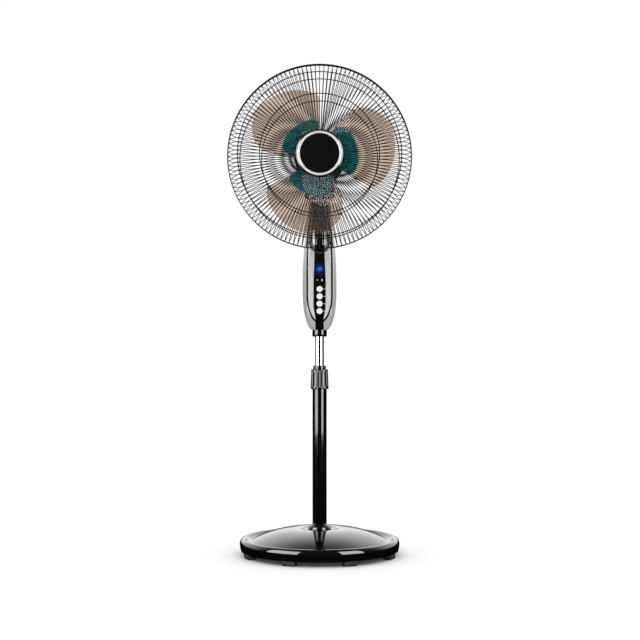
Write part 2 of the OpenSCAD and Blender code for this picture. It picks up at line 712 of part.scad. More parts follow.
module inner_rotor() color(teal) front_axis() {
  difference() {
    rotate_extrude() polygon([[4.3, 139.2], [38, 139.2], [40.1, 137], [40.1, 96], [41.6, 96],
      [41.6, 138], [39, 141], [4.3, 141]]);
    for (k = [0 : blade_count - 1]) rotate([0, 0, 90 + k * 360 / blade_count])
      blade_skin(39, 43, function(r) -2, function(r) 97, rotor_f - 28.4, 60, 1, 8);
  }
  for (k = [0 : blade_count - 1]) rotate([0, 0, 90 + k * 360 / blade_count])
    blade_skin(41.65, 93, function(r) small_lead(r), function(r) small_trail(r), rotor_f + 4.5, 1.6, 7, 10);
}

module blade_nut() color(gloss_black) front_axis() difference() {
  rotate_extrude() polygon([[0, 141.2], [17, 141.2], [17, 143], [13, 149], [8, 151], [0, 151.5]]);
  translate([0, 0, 130]) cylinder(r = 4.03, h = 17.4);
  around(6) translate([17.5, 0, 140]) cylinder(r = 2.4, h = 20);
}

// --------------------------------------------------------- oscillation
function gear_points(n, root, out, half) = [for (i = [0 : n - 1]) let (a = i * 360 / n)
  each [[root * cos(a - half * 1.5), root * sin(a - half * 1.5)], [out * cos(a - half * 0.5), out * sin(a - half * 0.5)],
        [out * cos(a + half * 0.5), out * sin(a + half * 0.5)], [root * cos(a + half * 1.5), root * sin(a + half * 1.5)]]];

module worm_wheel() color(white) translate([pinion_x, pinion_y, 0]) difference() {
  union() {
    translate([0, 0, 966]) linear_extrude(8) polygon(gear_points(24, 8.2, 9.2, 3.2));
    translate([0, 0, 961]) cylinder(r = 5, h = 18);
  }
  translate([0, 0, 950]) cylinder(r = 3.05, h = 50);
}

module clutch_shaft() color(steel) translate([pinion_x, pinion_y, 0]) {
  translate([0, 0, gear_z]) rotate([0, 0, mesh_angle + 180 + 22.5]) linear_extrude(6)
    polygon(gear_points(pinion_teeth, 3.7, 5.6, 7));
  translate([0, 0, gear_z - 1.5]) cylinder(r = 3, h = 124);
}

module crank_gear() color(white) translate([0, crank_y, 0]) {
  translate([0, 0, gear_z]) rotate([0, 0, mesh_angle]) linear_extrude(6)
    polygon(gear_points(crank_teeth, 14, 15.9, 2.6));
  translate([0, 0, gear_z]) cylinder(r = 3, h = 28);
  translate([crank_r, 0, link_z - 1]) cylinder(r = 2, h = 5);
}

module crank_link() color(steel) difference() {
  union() {
    translate([crank_r - 3.5, 0, link_z]) cube([7, crank_y, 2.5]);
    for (y = [0, crank_y]) translate([crank_r, y, link_z]) cylinder(r = 5, h = 2.5);
  }
  translate([crank_r, crank_y, link_z - 1]) cylinder(r = 2.05, h = 6);
  translate([crank_r, 0, link_z - 1]) cylinder(r = 2.4, h = 6);
}

module oscillation_knob() color(gloss_black) translate([pinion_x, pinion_y, 0]) difference() {
  rotate_extrude() polygon([[0, 1002], [4.3, 1002], [4.3, 1031], [8, 1033], [8.5, 1036],
    [7.2, 1039], [8, 1044], [6.5, 1046.5], [0, 1047]]);
  translate([0, 0, 990]) cylinder(r = 3.08, h = 44);
}

base_cover();
base_weight();
base_plate();
feet();
foot_screws();
pole_socket();
pole_bolt();
pole_knuckle();
outer_tube();
tube_bush();
collar_ring();
lock_collar();
inner_tube();
housing_collar();
tube_socket();
rear_shell();
front_shell();
face_panel();
trim_line();
control_strip();
light_window();
button_1();
button_2();
button_3();
button_4();
control_board();
housing_screws();
cord_gland();
tilt_bracket();
tilt_bolt();
tilt_nut();
neck();
neck_strip();
swivel_post();
motor_front_cover();
motor_rear_cover();
motor_front_bracket();
motor_rear_bracket();
stator();
windings();
bearings();
swivel_bracket();
gearbox_case();
guard_nut();
rear_guard();
front_guard();
rim_ring();
badge_holder();
badge_ring();
badge_cap();
motor_shaft();
rotor_core();
blade_rotor();
inner_rotor();
blade_nut();
worm_wheel();
clutch_shaft();
crank_gear();
crank_link();
oscillation_knob();
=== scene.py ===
# %% [markdown]
# # A pedestal fan, one piece at a time
# The lesson starts from a measured frame: every body of the fan is already in place there, in metres,
# with +Z up and the front of the fan toward -Y. Each piece made here is fixed to one of those bodies.
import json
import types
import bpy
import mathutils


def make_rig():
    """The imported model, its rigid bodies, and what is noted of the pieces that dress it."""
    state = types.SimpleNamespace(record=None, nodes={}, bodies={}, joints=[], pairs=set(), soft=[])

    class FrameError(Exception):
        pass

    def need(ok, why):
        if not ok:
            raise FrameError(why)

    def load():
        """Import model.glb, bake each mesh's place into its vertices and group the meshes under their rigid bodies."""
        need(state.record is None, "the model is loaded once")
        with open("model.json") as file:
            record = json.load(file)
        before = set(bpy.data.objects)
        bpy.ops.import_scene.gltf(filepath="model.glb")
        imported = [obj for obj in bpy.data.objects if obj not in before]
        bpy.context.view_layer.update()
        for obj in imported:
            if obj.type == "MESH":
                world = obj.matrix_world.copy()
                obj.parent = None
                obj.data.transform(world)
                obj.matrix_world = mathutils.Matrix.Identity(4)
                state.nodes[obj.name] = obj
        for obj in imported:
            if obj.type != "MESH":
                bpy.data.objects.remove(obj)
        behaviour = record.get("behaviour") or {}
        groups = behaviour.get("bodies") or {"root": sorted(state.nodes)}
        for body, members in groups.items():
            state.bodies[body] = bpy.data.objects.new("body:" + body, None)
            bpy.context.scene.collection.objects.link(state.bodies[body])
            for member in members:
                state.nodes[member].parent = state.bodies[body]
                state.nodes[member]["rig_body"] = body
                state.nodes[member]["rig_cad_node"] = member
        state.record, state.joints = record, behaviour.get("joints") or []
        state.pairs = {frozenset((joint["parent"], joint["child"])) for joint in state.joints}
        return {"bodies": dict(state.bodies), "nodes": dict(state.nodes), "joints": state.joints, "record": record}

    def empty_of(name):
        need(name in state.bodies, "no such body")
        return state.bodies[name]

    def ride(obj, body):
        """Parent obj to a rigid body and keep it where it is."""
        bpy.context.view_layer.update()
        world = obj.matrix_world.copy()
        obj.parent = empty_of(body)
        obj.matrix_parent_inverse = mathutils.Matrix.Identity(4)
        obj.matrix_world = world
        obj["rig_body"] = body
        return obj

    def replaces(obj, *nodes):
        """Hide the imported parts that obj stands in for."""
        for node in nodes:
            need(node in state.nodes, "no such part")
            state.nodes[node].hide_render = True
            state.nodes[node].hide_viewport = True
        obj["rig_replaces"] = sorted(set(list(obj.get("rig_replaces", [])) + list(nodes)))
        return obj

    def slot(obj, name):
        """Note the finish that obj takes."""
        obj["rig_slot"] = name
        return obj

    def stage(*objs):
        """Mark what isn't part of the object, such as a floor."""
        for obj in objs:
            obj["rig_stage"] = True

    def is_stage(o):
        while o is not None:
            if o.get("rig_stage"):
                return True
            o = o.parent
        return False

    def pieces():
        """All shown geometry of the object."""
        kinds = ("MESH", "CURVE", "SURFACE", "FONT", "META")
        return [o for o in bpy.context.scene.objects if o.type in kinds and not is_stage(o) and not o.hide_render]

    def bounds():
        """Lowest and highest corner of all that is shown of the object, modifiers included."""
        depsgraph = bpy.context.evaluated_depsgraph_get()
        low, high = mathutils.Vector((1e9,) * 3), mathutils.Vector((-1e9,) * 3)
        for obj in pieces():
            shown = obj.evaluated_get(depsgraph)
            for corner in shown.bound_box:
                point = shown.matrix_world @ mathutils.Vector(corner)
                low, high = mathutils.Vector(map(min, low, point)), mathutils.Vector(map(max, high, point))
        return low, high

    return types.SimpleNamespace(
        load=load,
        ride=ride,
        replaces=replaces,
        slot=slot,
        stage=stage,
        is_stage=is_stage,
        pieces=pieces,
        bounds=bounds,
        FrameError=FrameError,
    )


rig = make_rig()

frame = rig.load()
cad_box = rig.bounds()

import json
import math
import bpy
from mathutils import Vector

MM = 0.001
HEAD_Z = 970 * MM
TILT = 769.0  # height of the tilt hinge, in millimetres
WELD = 1e-6
print("bodies", sorted(frame["bodies"]), "box", [round(c, 3) for c in cad_box[1]])

# %% [markdown]
# ## Camera
# The fan is seen level, straight from the front, from 3.6 m away with the lens a little under half of its
# height. A long lens keeps the tube straight and shows the base from just above.

# %% Camera
camera_data = bpy.data.cameras.new("camera")
camera_data.lens = 82.0
camera_data.sensor_width = 36.0
camera = bpy.data.objects.new("camera", camera_data)
bpy.context.scene.collection.objects.link(camera)
camera.location = (0.001, -3.6, 0.579)
camera.rotation_euler = (math.radians(90), 0, 0)
bpy.context.scene.camera = camera
bpy.context.scene.view_settings.view_transform = "Standard"
print("camera at", tuple(camera.location))

# %% [markdown]
# ## Working by hand in code
# Every piece is started from a primitive, shaped in edit mode and finished with modifiers. These helpers
# are the hand movements that repeat: clear the selection, put down one point, draw a line of points from
# it, turn the line round an axis, and push an outline out into a block.


# %% Selecting and finishing
def deselect():
    if bpy.context.object and bpy.context.object.mode != "OBJECT":
        bpy.ops.object.mode_set(mode="OBJECT")
    bpy.ops.object.select_all(action="DESELECT")


def pick(piece):
    deselect()
    piece.select_set(True)
    bpy.context.view_layer.objects.active = piece


def apply_modifier(piece, kind, **values):
    pick(piece)
    bpy.ops.object.modifier_add(type=kind)
    modifier = piece.modifiers[-1]
    for key, value in values.items():
        setattr(modifier, key, value)
    bpy.ops.object.modifier_apply(modifier=modifier.name)


def edit_all(piece):
    pick(piece)
    bpy.ops.object.mode_set(mode="EDIT")
    bpy.ops.mesh.select_all(action="SELECT")


def close_up(piece):
    edit_all(piece)
    bpy.ops.mesh.remove_doubles(threshold=WELD)
    bpy.ops.mesh.normals_make_consistent(inside=False)
    bpy.ops.object.mode_set(mode="OBJECT")


def smooth(piece, angle=35):
    pick(piece)
    bpy.ops.object.shade_smooth_by_angle(angle=math.radians(angle))


def soften(piece, width, segments=3, angle=30):
    apply_modifier(piece, "BEVEL", width=width, segments=segments, limit_method="ANGLE",
                   angle_limit=math.radians(angle), use_clamp_overlap=True)


def edged(piece, width, segments=2, angle=30):
    soften(piece, width, segments, angle)
    smooth(piece, 40)


def cut(piece, cutter, operation="DIFFERENCE"):
    apply_modifier(piece, "BOOLEAN", object=cutter, operation=operation, solver="EXACT")
    bpy.data.objects.remove(cutter)


def settle():
    # The object's origin goes back to the origin of the fan, with no turn or scale left on it.
    bpy.ops.object.transform_apply(location=True, rotation=True, scale=True)


def join(pieces, name):
    deselect()
    for piece in pieces:
        piece.select_set(True)
    bpy.context.view_layer.objects.active = pieces[0]
    bpy.ops.object.join()
    pieces[0].name = name
    return pieces[0]


def rod(radius, depth, x, y, z, vertices=40):
    # A cylinder that lies along Y; all measures are in millimetres.
    deselect()
    bpy.ops.mesh.primitive_cylinder_add(vertices=vertices, radius=radius * MM, depth=depth * MM,
                                        location=(x * MM, y * MM, z * MM), rotation=(math.pi / 2, 0, 0))
    return bpy.context.object


# %% Drawing, turning and extruding
def first_point(name, point):
    deselect()
    bpy.ops.mesh.primitive_plane_add(size=0.01)
    piece = bpy.context.object
    piece.name = name
    bpy.ops.object.mode_set(mode="EDIT")
    bpy.ops.mesh.merge(type="CENTER")
    bpy.ops.transform.translate(value=point)
    return piece


def draw_line(points):
    for start, end in zip(points, points[1:]):
        bpy.ops.mesh.extrude_region_move(TRANSFORM_OT_translate={"value": Vector(end) - Vector(start)})


def turned(name, profile, axis="Z", steps=96, angle=360):
    # The profile is in millimetres: radius and height, or radius and distance in front of the column.
    if axis == "Z":
        points = [Vector((r * MM, 0, h * MM)) for r, h in profile]
        centre, direction = (0, 0, 0), (0, 0, 1)
    else:
        points = [Vector((r * MM, -h * MM, HEAD_Z)) for r, h in profile]
        centre, direction = (0, 0, HEAD_Z), (0, 1, 0)
    piece = first_point(name, points[0])
    draw_line(points)
    bpy.ops.mesh.select_all(action="SELECT")
    bpy.ops.mesh.spin(steps=steps, angle=math.radians(angle), center=centre, axis=direction)
    bpy.ops.object.mode_set(mode="OBJECT")
    close_up(piece)
    return piece


def block(name, outline, depth):
    # A closed outline of 3D points, filled and pushed along depth.
    points = [Vector(p) for p in outline]
    piece = first_point(name, points[0])
    draw_line(points + [points[0]])
    bpy.ops.mesh.select_all(action="SELECT")
    bpy.ops.mesh.remove_doubles(threshold=WELD)
    bpy.ops.mesh.edge_face_add()
    bpy.ops.mesh.extrude_region_move(TRANSFORM_OT_translate={"value": depth})
    bpy.ops.object.mode_set(mode="OBJECT")
    close_up(piece)
    return piece


def ride(piece, body, slot, material, *nodes):
    piece.data.materials.clear()
    piece.data.materials.append(material)
    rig.ride(piece, body)
    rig.slot(piece, slot)
    if nodes:
        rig.replaces(piece, *nodes)
    print(piece.name, "rides on", body, "with", len(piece.data.polygons), "faces")


# %% [markdown]
# ## Finishes
# A fan has few materials, but each one answers the light in its own way: gloss black plastic, painted
# wire, chrome tube, lacquered silver plastic, tinted see-through blades. One function lays out the nodes:
# noise moves the colour and the roughness a little, and a finer noise gives the skin of the surface.


# %% One layout of nodes for every finish
def finish(name, dark, light, rough, scale=40, metallic=0.0, bump=0.02, grain=400, stretch=(1, 1, 1),
           coat=0.0, transmission=0.0, ior=1.5, specular=0.5):
    material = bpy.data.materials.new(name)
    material.use_nodes = True
    nodes, links = material.node_tree.nodes, material.node_tree.links
    shader = nodes["Principled BSDF"]
    place = nodes.new("ShaderNodeTexCoord")
    mapping = nodes.new("ShaderNodeMapping")
    mapping.inputs["Scale"].default_value = stretch
    links.new(place.outputs["Object"], mapping.inputs["Vector"])
    cloud = nodes.new("ShaderNodeTexNoise")
    cloud.inputs["Scale"].default_value = scale
    cloud.inputs["Detail"].default_value = 4
    links.new(mapping.outputs["Vector"], cloud.inputs["Vector"])
    tint = nodes.new("ShaderNodeValToRGB")
    tint.color_ramp.elements[0].position, tint.color_ramp.elements[1].position = 0.3, 0.7
    tint.color_ramp.elements[0].color = (*dark, 1)
    tint.color_ramp.elements[1].color = (*light, 1)
    links.new(cloud.outputs["Fac"], tint.inputs["Fac"])
    links.new(tint.outputs["Color"], shader.inputs["Base Color"])
    span = nodes.new("ShaderNodeMapRange")
    span.inputs["To Min"].default_value, span.inputs["To Max"].default_value = rough
    links.new(cloud.outputs["Fac"], span.inputs["Value"])
    links.new(span.outputs["Result"], shader.inputs["Roughness"])
    skin = nodes.new("ShaderNodeTexNoise")
    skin.inputs["Scale"].default_value = grain
    skin.inputs["Detail"].default_value = 3
    links.new(mapping.outputs["Vector"], skin.inputs["Vector"])
    relief = nodes.new("ShaderNodeBump")
    relief.inputs["Strength"].default_value = bump
    relief.inputs["Distance"].default_value = 0.0005
    links.new(skin.outputs["Fac"], relief.inputs["Height"])
    links.new(relief.outputs["Normal"], shader.inputs["Normal"])
    shader.inputs["Metallic"].default_value = metallic
    shader.inputs["IOR"].default_value = ior
    shader.inputs["Coat Weight"].default_value = coat
    shader.inputs["Coat Roughness"].default_value = 0.03
    shader.inputs["Transmission Weight"].default_value = transmission
    shader.inputs["Specular IOR Level"].default_value = specular
    return material


# %% The finishes of this fan
gloss_black = finish("gloss_black_plastic", (0.002, 0.002, 0.002), (0.004, 0.0038, 0.004), (0.05, 0.1),
                     scale=25, bump=0.006, grain=250, coat=0.6)
satin_black = finish("satin_black_line", (0.002, 0.002, 0.002), (0.005, 0.005, 0.005), (0.45, 0.55), scale=40,
                     bump=0.04, grain=400, specular=0.1)
black_tube = finish("black_enamelled_tube", (0.002, 0.002, 0.002), (0.004, 0.0038, 0.004), (0.06, 0.12),
                    scale=18, bump=0.03, grain=180, coat=0.5)
black_wire = finish("black_coated_wire", (0.004, 0.004, 0.004), (0.009, 0.008, 0.008), (0.25, 0.36),
                    scale=60, bump=0.05, grain=600, specular=0.15)
chrome_tube = finish("chromed_tube", (0.8, 0.79, 0.78), (0.92, 0.92, 0.92), (0.03, 0.08), metallic=1.0,
                     scale=30, bump=0.01, grain=300, stretch=(1, 1, 0.1))
silver_lacquer = finish("silver_lacquered_plastic", (0.47, 0.46, 0.46), (0.56, 0.55, 0.55), (0.2, 0.28),
                        metallic=0.2, scale=900, bump=0.03, grain=1400, coat=0.5)
bright_silver = finish("bright_silver_panel", (0.66, 0.65, 0.65), (0.74, 0.73, 0.73),
                       (0.28, 0.34), metallic=0.1, scale=500, bump=0.02, grain=900, coat=0.3)
badge_silver = finish("matt_silver_ring", (0.66, 0.65, 0.64), (0.76, 0.75, 0.74), (0.34, 0.44), metallic=0.25,
                      scale=700, bump=0.05, grain=1200)
smoke_tint = finish("smoke_tinted_blade", (0.6, 0.47, 0.38), (0.64, 0.5, 0.41), (0.0, 0.0), scale=12,
                    bump=0.0, grain=40, transmission=0.96, ior=1.45)
teal_tint = finish("teal_tinted_blade", (0.02, 0.32, 0.35), (0.025, 0.42, 0.45), (0.0, 0.0), scale=14,
                   bump=0.0, grain=40, transmission=0.62, ior=1.45)
dark_plastic = finish("dark_motor_plastic", (0.02, 0.02, 0.028), (0.035, 0.035, 0.045), (0.25, 0.38), scale=50,
                      bump=0.15, grain=900)
black_rubber = finish("black_rubber", (0.012, 0.012, 0.012), (0.03, 0.03, 0.03), (0.6, 0.8), scale=80,
                      bump=0.3, grain=700)
button_white = finish("white_button_plastic", (0.85, 0.85, 0.83), (0.93, 0.93, 0.92), (0.2, 0.3), scale=60,
                      bump=0.03, grain=500, coat=0.2)
plain_steel = finish("zinc_plated_steel", (0.42, 0.42, 0.43), (0.6, 0.6, 0.62), (0.25, 0.42), metallic=1.0,
                     scale=70, bump=0.1, grain=500)
cast_aluminium = finish("cast_aluminium", (0.42, 0.42, 0.43), (0.58, 0.58, 0.6), (0.4, 0.6), metallic=0.9,
                        scale=90, bump=0.4, grain=350)
laminated_steel = finish("laminated_steel", (0.2, 0.2, 0.22), (0.45, 0.45, 0.46), (0.3, 0.5), metallic=1.0,
                         scale=300, bump=0.4, grain=60, stretch=(0.02, 20, 0.02))
wound_copper = finish("wound_copper", (0.35, 0.12, 0.04), (0.72, 0.33, 0.14), (0.25, 0.4), metallic=0.8,
                      scale=300, bump=0.6, grain=900, stretch=(1, 0.2, 1))
circuit_green = finish("circuit_board", (0.01, 0.12, 0.04), (0.03, 0.24, 0.09), (0.3, 0.45), scale=220,
                       bump=0.2, grain=500)
gear_nylon = finish("white_nylon", (0.72, 0.71, 0.66), (0.84, 0.83, 0.78), (0.35, 0.5), scale=60, bump=0.05,
                    grain=300)
print(len(bpy.data.materials), "materials")

# %% [markdown]
# ## The lit window
# Behind the black strip a blue lamp glows. The strip is see-through enough to show a soft halo round the
# lens, so its emission falls off with the distance from the middle of the lens.

# %% Blue glow
WINDOW = (0, -0.028, 0.704)


def add_glow(material, reach, strength, colour):
    nodes, links = material.node_tree.nodes, material.node_tree.links
    shader = nodes["Principled BSDF"]
    place = nodes.new("ShaderNodeTexCoord")
    centre = nodes.new("ShaderNodeMapping")
    centre.vector_type = "TEXTURE"
    centre.inputs["Location"].default_value = WINDOW
    centre.inputs["Scale"].default_value = (reach, reach, reach * 1.15)
    ball = nodes.new("ShaderNodeTexGradient")
    ball.gradient_type = "SPHERICAL"
    fade = nodes.new("ShaderNodeValToRGB")
    fade.color_ramp.interpolation = "EASE"
    fade.color_ramp.elements[0].color = (0, 0, 0, 1)
    fade.color_ramp.elements[1].color = (*colour, 1)
    links.new(place.outputs["Object"], centre.inputs["Vector"])
    links.new(centre.outputs["Vector"], ball.inputs["Vector"])
    links.new(ball.outputs["Fac"], fade.inputs["Fac"])
    links.new(fade.outputs["Color"], shader.inputs["Emission Color"])
    shader.inputs["Emission Strength"].default_value = strength


strip_black = finish("glowing_black_strip", (0.002, 0.002, 0.002), (0.004, 0.0038, 0.004), (0.05, 0.09),
                     scale=25, bump=0.02, grain=250, coat=0.6)
add_glow(strip_black, 0.015, 0.34, (0.03, 0.08, 0.75))
blue_lens = finish("blue_lens", (0.01, 0.03, 0.3), (0.02, 0.06, 0.45), (0.05, 0.1), scale=80, bump=0.02)
add_glow(blue_lens, 0.012, 0.5, (0.05, 0.13, 0.8))
print("glow centred at", WINDOW)

# %% [markdown]
# ## Base
# The base is a moulded black dish turned upside down: a rounded rim, a shallow groove and a low dome with
# a shallow recess in the middle. A turned profile with a real wall gives it in one sweep of the spin tool.
# The points of the dome lie on a parabola, close enough together that its shine stays unbroken.

# %% Base cover
rim_line = [(194, 12), (195.6, 18), (196.7, 24), (197, 28), (196.6, 32), (195.3, 36), (193, 39), (189.5, 41),
            (185.5, 41.3), (182, 40.2), (178.5, 38), (174.8, 35.8), (172.5, 35.1), (170, 35.4)]
DOME_TOP, DOME_EDGE = 66, 35
dome_line = []
for i in range(1, 29):
    r = 170 - 118 * i / 28
    dome_line.append((r, DOME_TOP - (DOME_TOP - DOME_EDGE) * ((r - 50) / 121) ** 2))
centre_line = [(46, 65.7), (41, 64.8), (36, 63.4), (32, 62.7), (28, 62.5), (19, 62.5)]
outer_line = rim_line + dome_line + centre_line


def inner_line(line, wall):
    inside = []
    for i, (r, h) in enumerate(line):
        before, after = line[max(i - 1, 0)], line[min(i + 1, len(line) - 1)]
        run, rise = after[0] - before[0], after[1] - before[1]
        length = math.hypot(run, rise)
        inside.append((r - wall * rise / length, h + wall * run / length))
    return inside


under_line = inner_line(outer_line, 2.4)[::-1]
base_cover = turned("base_cover_shell", outer_line + under_line + outer_line[:1], steps=144)
smooth(base_cover, 50)
ride(base_cover, "base", "gloss_black", gloss_black, "base_cover")

# %% [markdown]
# ## Column
# A small half-round collar hides where the tube enters the base. Above it stand the black tube, the ribbed
# height lock, the neck ring and the chromed sliding tube. All are turned; the ribs of the lock are pressed
# into its side afterwards, as waves round the axis that fade toward both ends.

# %% Collar, tubes and rings
knuckle_profile = [(17.6, 62.5), (28.2, 62.5), (28.6, 63.2)]
knuckle_profile += [(18.4 + 10.2 * math.cos(math.radians(a)), 63.6 + 11.2 * math.sin(math.radians(a)))
                    for a in range(6, 78, 6)]
knuckle_profile += [(20.2, 75.2), (19, 77), (17.6, 77.8), (17.6, 62.5)]
knuckle = turned("pole_collar", knuckle_profile, steps=72)
smooth(knuckle, 45)
ride(knuckle, "base", "gloss_black", gloss_black, "pole_knuckle")

lower_tube = turned("lower_tube", [(15.5, 30), (17.5, 30), (17.5, 447.6), (17.1, 448), (15.5, 448), (15.5, 30)],
                    steps=72)
smooth(lower_tube)
ride(lower_tube, "base", "black_paint", black_tube, "outer_tube")

neck_ring = turned("neck_ring", [(10.78, 451), (12.5, 451), (12.5, 458.4), (15, 458.4), (15.75, 459.2),
                                 (15.75, 465.4), (15.2, 466.4), (14.2, 467), (10.78, 467),
                                 (10.78, 451)], steps=64)
smooth(neck_ring)
ride(neck_ring, "base", "gloss_black", gloss_black, "collar_ring")

upper_tube = turned("sliding_tube", [(9.2, 150), (10.7, 150), (10.7, 586), (9.2, 586), (9.2, 150)], steps=64)
smooth(upper_tube)
guide = turned("tube_guide", [(10.75, 150.4), (14.6, 150.4), (15.1, 151), (15.1, 163.4), (14.6, 163.9),
                              (10.75, 163.9), (10.75, 150.4)], steps=48)
smooth(guide)
ride(upper_tube, "column", "chrome_tube", chrome_tube, "inner_tube")
ride(guide, "column", "chrome_tube", dark_plastic)

under_collar = turned("housing_sleeve", [(10.75, 538), (17.2, 538), (17.8, 538.5), (18, 539.2), (18, 554.2),
                                         (13.9, 554.2), (13.9, 560.4), (10.75, 560.4), (10.75, 538)], steps=64)
smooth(under_collar)
ride(under_collar, "column", "gloss_black", gloss_black, "housing_collar")

# %% Ribbed height lock
LOCK_LOW, LOCK_HIGH = 409, 458
lock_heights = [410 + 46 * i / 12 for i in range(13)]
lock_profile = [(17.6, 409), (21.4, 409), (22.1, 409.4)]
lock_profile += [(22.3 - 1.75 * (h - 410) / 46, h) for h in lock_heights]
lock_profile += [(20.2, 457.3), (19.6, 457.9), (12.95, 457.9), (12.95, 455), (17.7, 453), (17.6, 409)]
height_lock = turned("height_lock", lock_profile, steps=160)
RIBS, RIB_DEPTH = 20, 0.85 * MM
for point in height_lock.data.vertices:
    radius = math.hypot(point.co.x, point.co.y)
    if radius > 19.2 * MM:
        turn = math.atan2(point.co.y, point.co.x) * RIBS
        ends = min(1, (point.co.z - LOCK_LOW * MM) / (3 * MM), (LOCK_HIGH * MM - point.co.z) / (3 * MM))
        inset = RIB_DEPTH * max(0, ends) * max(0, math.cos(turn)) ** 0.6
        point.co.x *= 1 - inset / radius
        point.co.y *= 1 - inset / radius
smooth(height_lock, 40)
ride(height_lock, "collar", "gloss_black", gloss_black, "lock_collar")

# %% [markdown]
# ## Control housing
# The housing is a long rounded body, 56 mm deep, that swells to 83 mm and closes at the bottom. Across, it
# is a circle whose front and back are pressed flat, with a soft edge between. It is lofted: a circle is
# extruded upward level by level, and the points of each level are then set out on its own section. The
# same loft, a little bigger or smaller, gives the skins of the panels that lie in it.

# %% Loft of rings
HOUSE_LOW, HOUSE_WIDE, HOUSE_DEEP = 554.5, 655.0, 28


def fullness(z):
    return max(0.0, 1 - max(0.0, (HOUSE_WIDE - z) / (HOUSE_WIDE - HOUSE_LOW)) ** 2.4)


def half_width(z):
    if z < HOUSE_WIDE:
        return 18 + 23.6 * fullness(z) ** 0.6
    return 41.6 - 7.3 * ((z - HOUSE_WIDE) / 142) ** 2.2


def half_depth(z):
    return 16 + 12 * fullness(z) ** 0.6 if z < HOUSE_WIDE else HOUSE_DEEP


def pressed(across, deep, edge):
    # The smaller of the two, with a soft change between them.
    soft = max(edge - abs(across - deep), 0) / edge
    return min(across, deep) - soft * soft * edge / 4


def loft(name, rings, edge=3.0, count=128):
    # rings: height, half-width and half-depth in millimetres, from the bottom up.
    deselect()
    bpy.ops.mesh.primitive_circle_add(vertices=count, radius=0.01, fill_type="NGON",
                                      location=(0, 0, rings[0][0] * MM))
    piece = bpy.context.object
    piece.name = name
    settle()
    bpy.ops.object.mode_set(mode="EDIT")
    bpy.ops.mesh.select_all(action="SELECT")
    for low, high in zip(rings, rings[1:]):
        bpy.ops.mesh.extrude_region_move(TRANSFORM_OT_translate={"value": (0, 0, (high[0] - low[0]) * MM)})
    bpy.ops.object.mode_set(mode="OBJECT")
    for point in piece.data.vertices:
        z, wide, deep = min(rings, key=lambda ring: abs(ring[0] * MM - point.co.z))
        turn = math.atan2(point.co.y, point.co.x)
        across = wide * abs(math.sin(turn))
        point.co.x = wide * math.cos(turn) * MM
        point.co.y = math.copysign(max(pressed(across, deep, min(edge, deep)), 0), math.sin(turn)) * MM
    close_up(piece)
    return piece


def house_body(name, grow=0.0, low=HOUSE_LOW):
    rings = [(low, half_width(HOUSE_LOW) + grow, half_depth(HOUSE_LOW) + grow)]
    for i in range(1, 21):
        z = HOUSE_LOW + (HOUSE_WIDE - HOUSE_LOW) * (i / 20) ** 1.8
        if z > low + 0.3:
            rings.append((z, half_width(z) + grow, half_depth(z) + grow))
    for z in (675, 695, 715, 735, 752, TILT):
        rings.append((z, half_width(z) + grow, HOUSE_DEEP + grow))
    for a in (10, 20, 30, 40, 50, 60, 69, 77, 84):
        turn = math.radians(a)
        z = TILT + (HOUSE_DEEP + grow) * math.sin(turn)
        rings.append((z, half_width(z) + grow, (HOUSE_DEEP + grow) * math.cos(turn)))
    return loft(name, rings)


def slab(name, edge, near=-60, far=-13):
    # edge is an outline of x and z in millimetres, extruded along Y.
    return block(name, [(x * MM, near * MM, z * MM) for x, z in edge], (0, (far - near) * MM, 0))


def mirrored(side):
    return side + [(-x, z) for x, z in side[::-1]]


YOKE_R = 26.5
yoke_round = [(YOKE_R * math.cos(math.radians(a)), TILT - YOKE_R * math.sin(math.radians(a)))
              for a in range(0, 90, 5)]
yoke_edge = mirrored([(YOKE_R, 840)] + yoke_round)
print("neck way has", len(yoke_edge), "corners")


# %% Outlines on the front of the housing
def panel_side(grow):
    side = []
    for i in range(15):
        z = 574 + 66 * (i / 14) ** 1.7
        side.append((29.5 * math.sqrt(max(0.0, 1 - ((640 - z) / 66) ** 2)), z))
    side += [(29.5, 670), (29.5, 700), (28.9, 735), (28.2, 755), (27.4, 775), (26.9, 792)]
    moved = []
    for i, (x, z) in enumerate(side):
        before, after = side[max(i - 1, 0)], side[min(i + 1, len(side) - 1)]
        run, rise = after[0] - before[0], after[1] - before[1]
        length = math.hypot(run, rise)
        moved.append((max(0.01, x + grow * rise / length), z - grow * run / length))
    return moved


strip_side = [(10, 548), (10, 584), (11.2, 591), (13, 600), (14.3, 609), (14.8, 618), (14.8, 670), (14.3, 688),
              (13.4, 708), (12.4, 730), (12, 748)]


def strip_outline(grow):
    return mirrored([(x + grow, z) for x, z in strip_side])


# %% [markdown]
# ### Shells
# The silver shell is hollow, so the inner body is cut out of the outer one before it is parted at the
# middle into a front and a rear half. Openings for the neck, the tube and the panels are cut last, and a
# fine bevel catches the light on every cut edge.


# %% Front and rear shell
def shell_half(name, front):
    shell = house_body(name)
    cut(shell, house_body("inside", grow=-2.5, low=HOUSE_LOW + 2.5))
    deep = 60 * MM
    half = block("other_half", [(-deep, 0, 0.5), (deep, 0, 0.5), (deep, 0, 0.9), (-deep, 0, 0.9)],
                 (0, deep if front else -deep, 0))
    cut(shell, half)
    cut(shell, slab("neck_way", yoke_edge, far=60))
    cut(shell, turned("tube_way", [(0, 540), (14.05, 540), (14.05, 570), (0, 570)], steps=48))
    return shell


front_shell = shell_half("front_shell_silver", True)
cut(front_shell, slab("panel_way", mirrored(panel_side(2.85))))
cut(front_shell, slab("strip_way", strip_outline(0.05)))
smooth(front_shell, 40)
edged(front_shell, 0.0004)
ride(front_shell, "column", "silver_plastic", silver_lacquer, "front_shell")

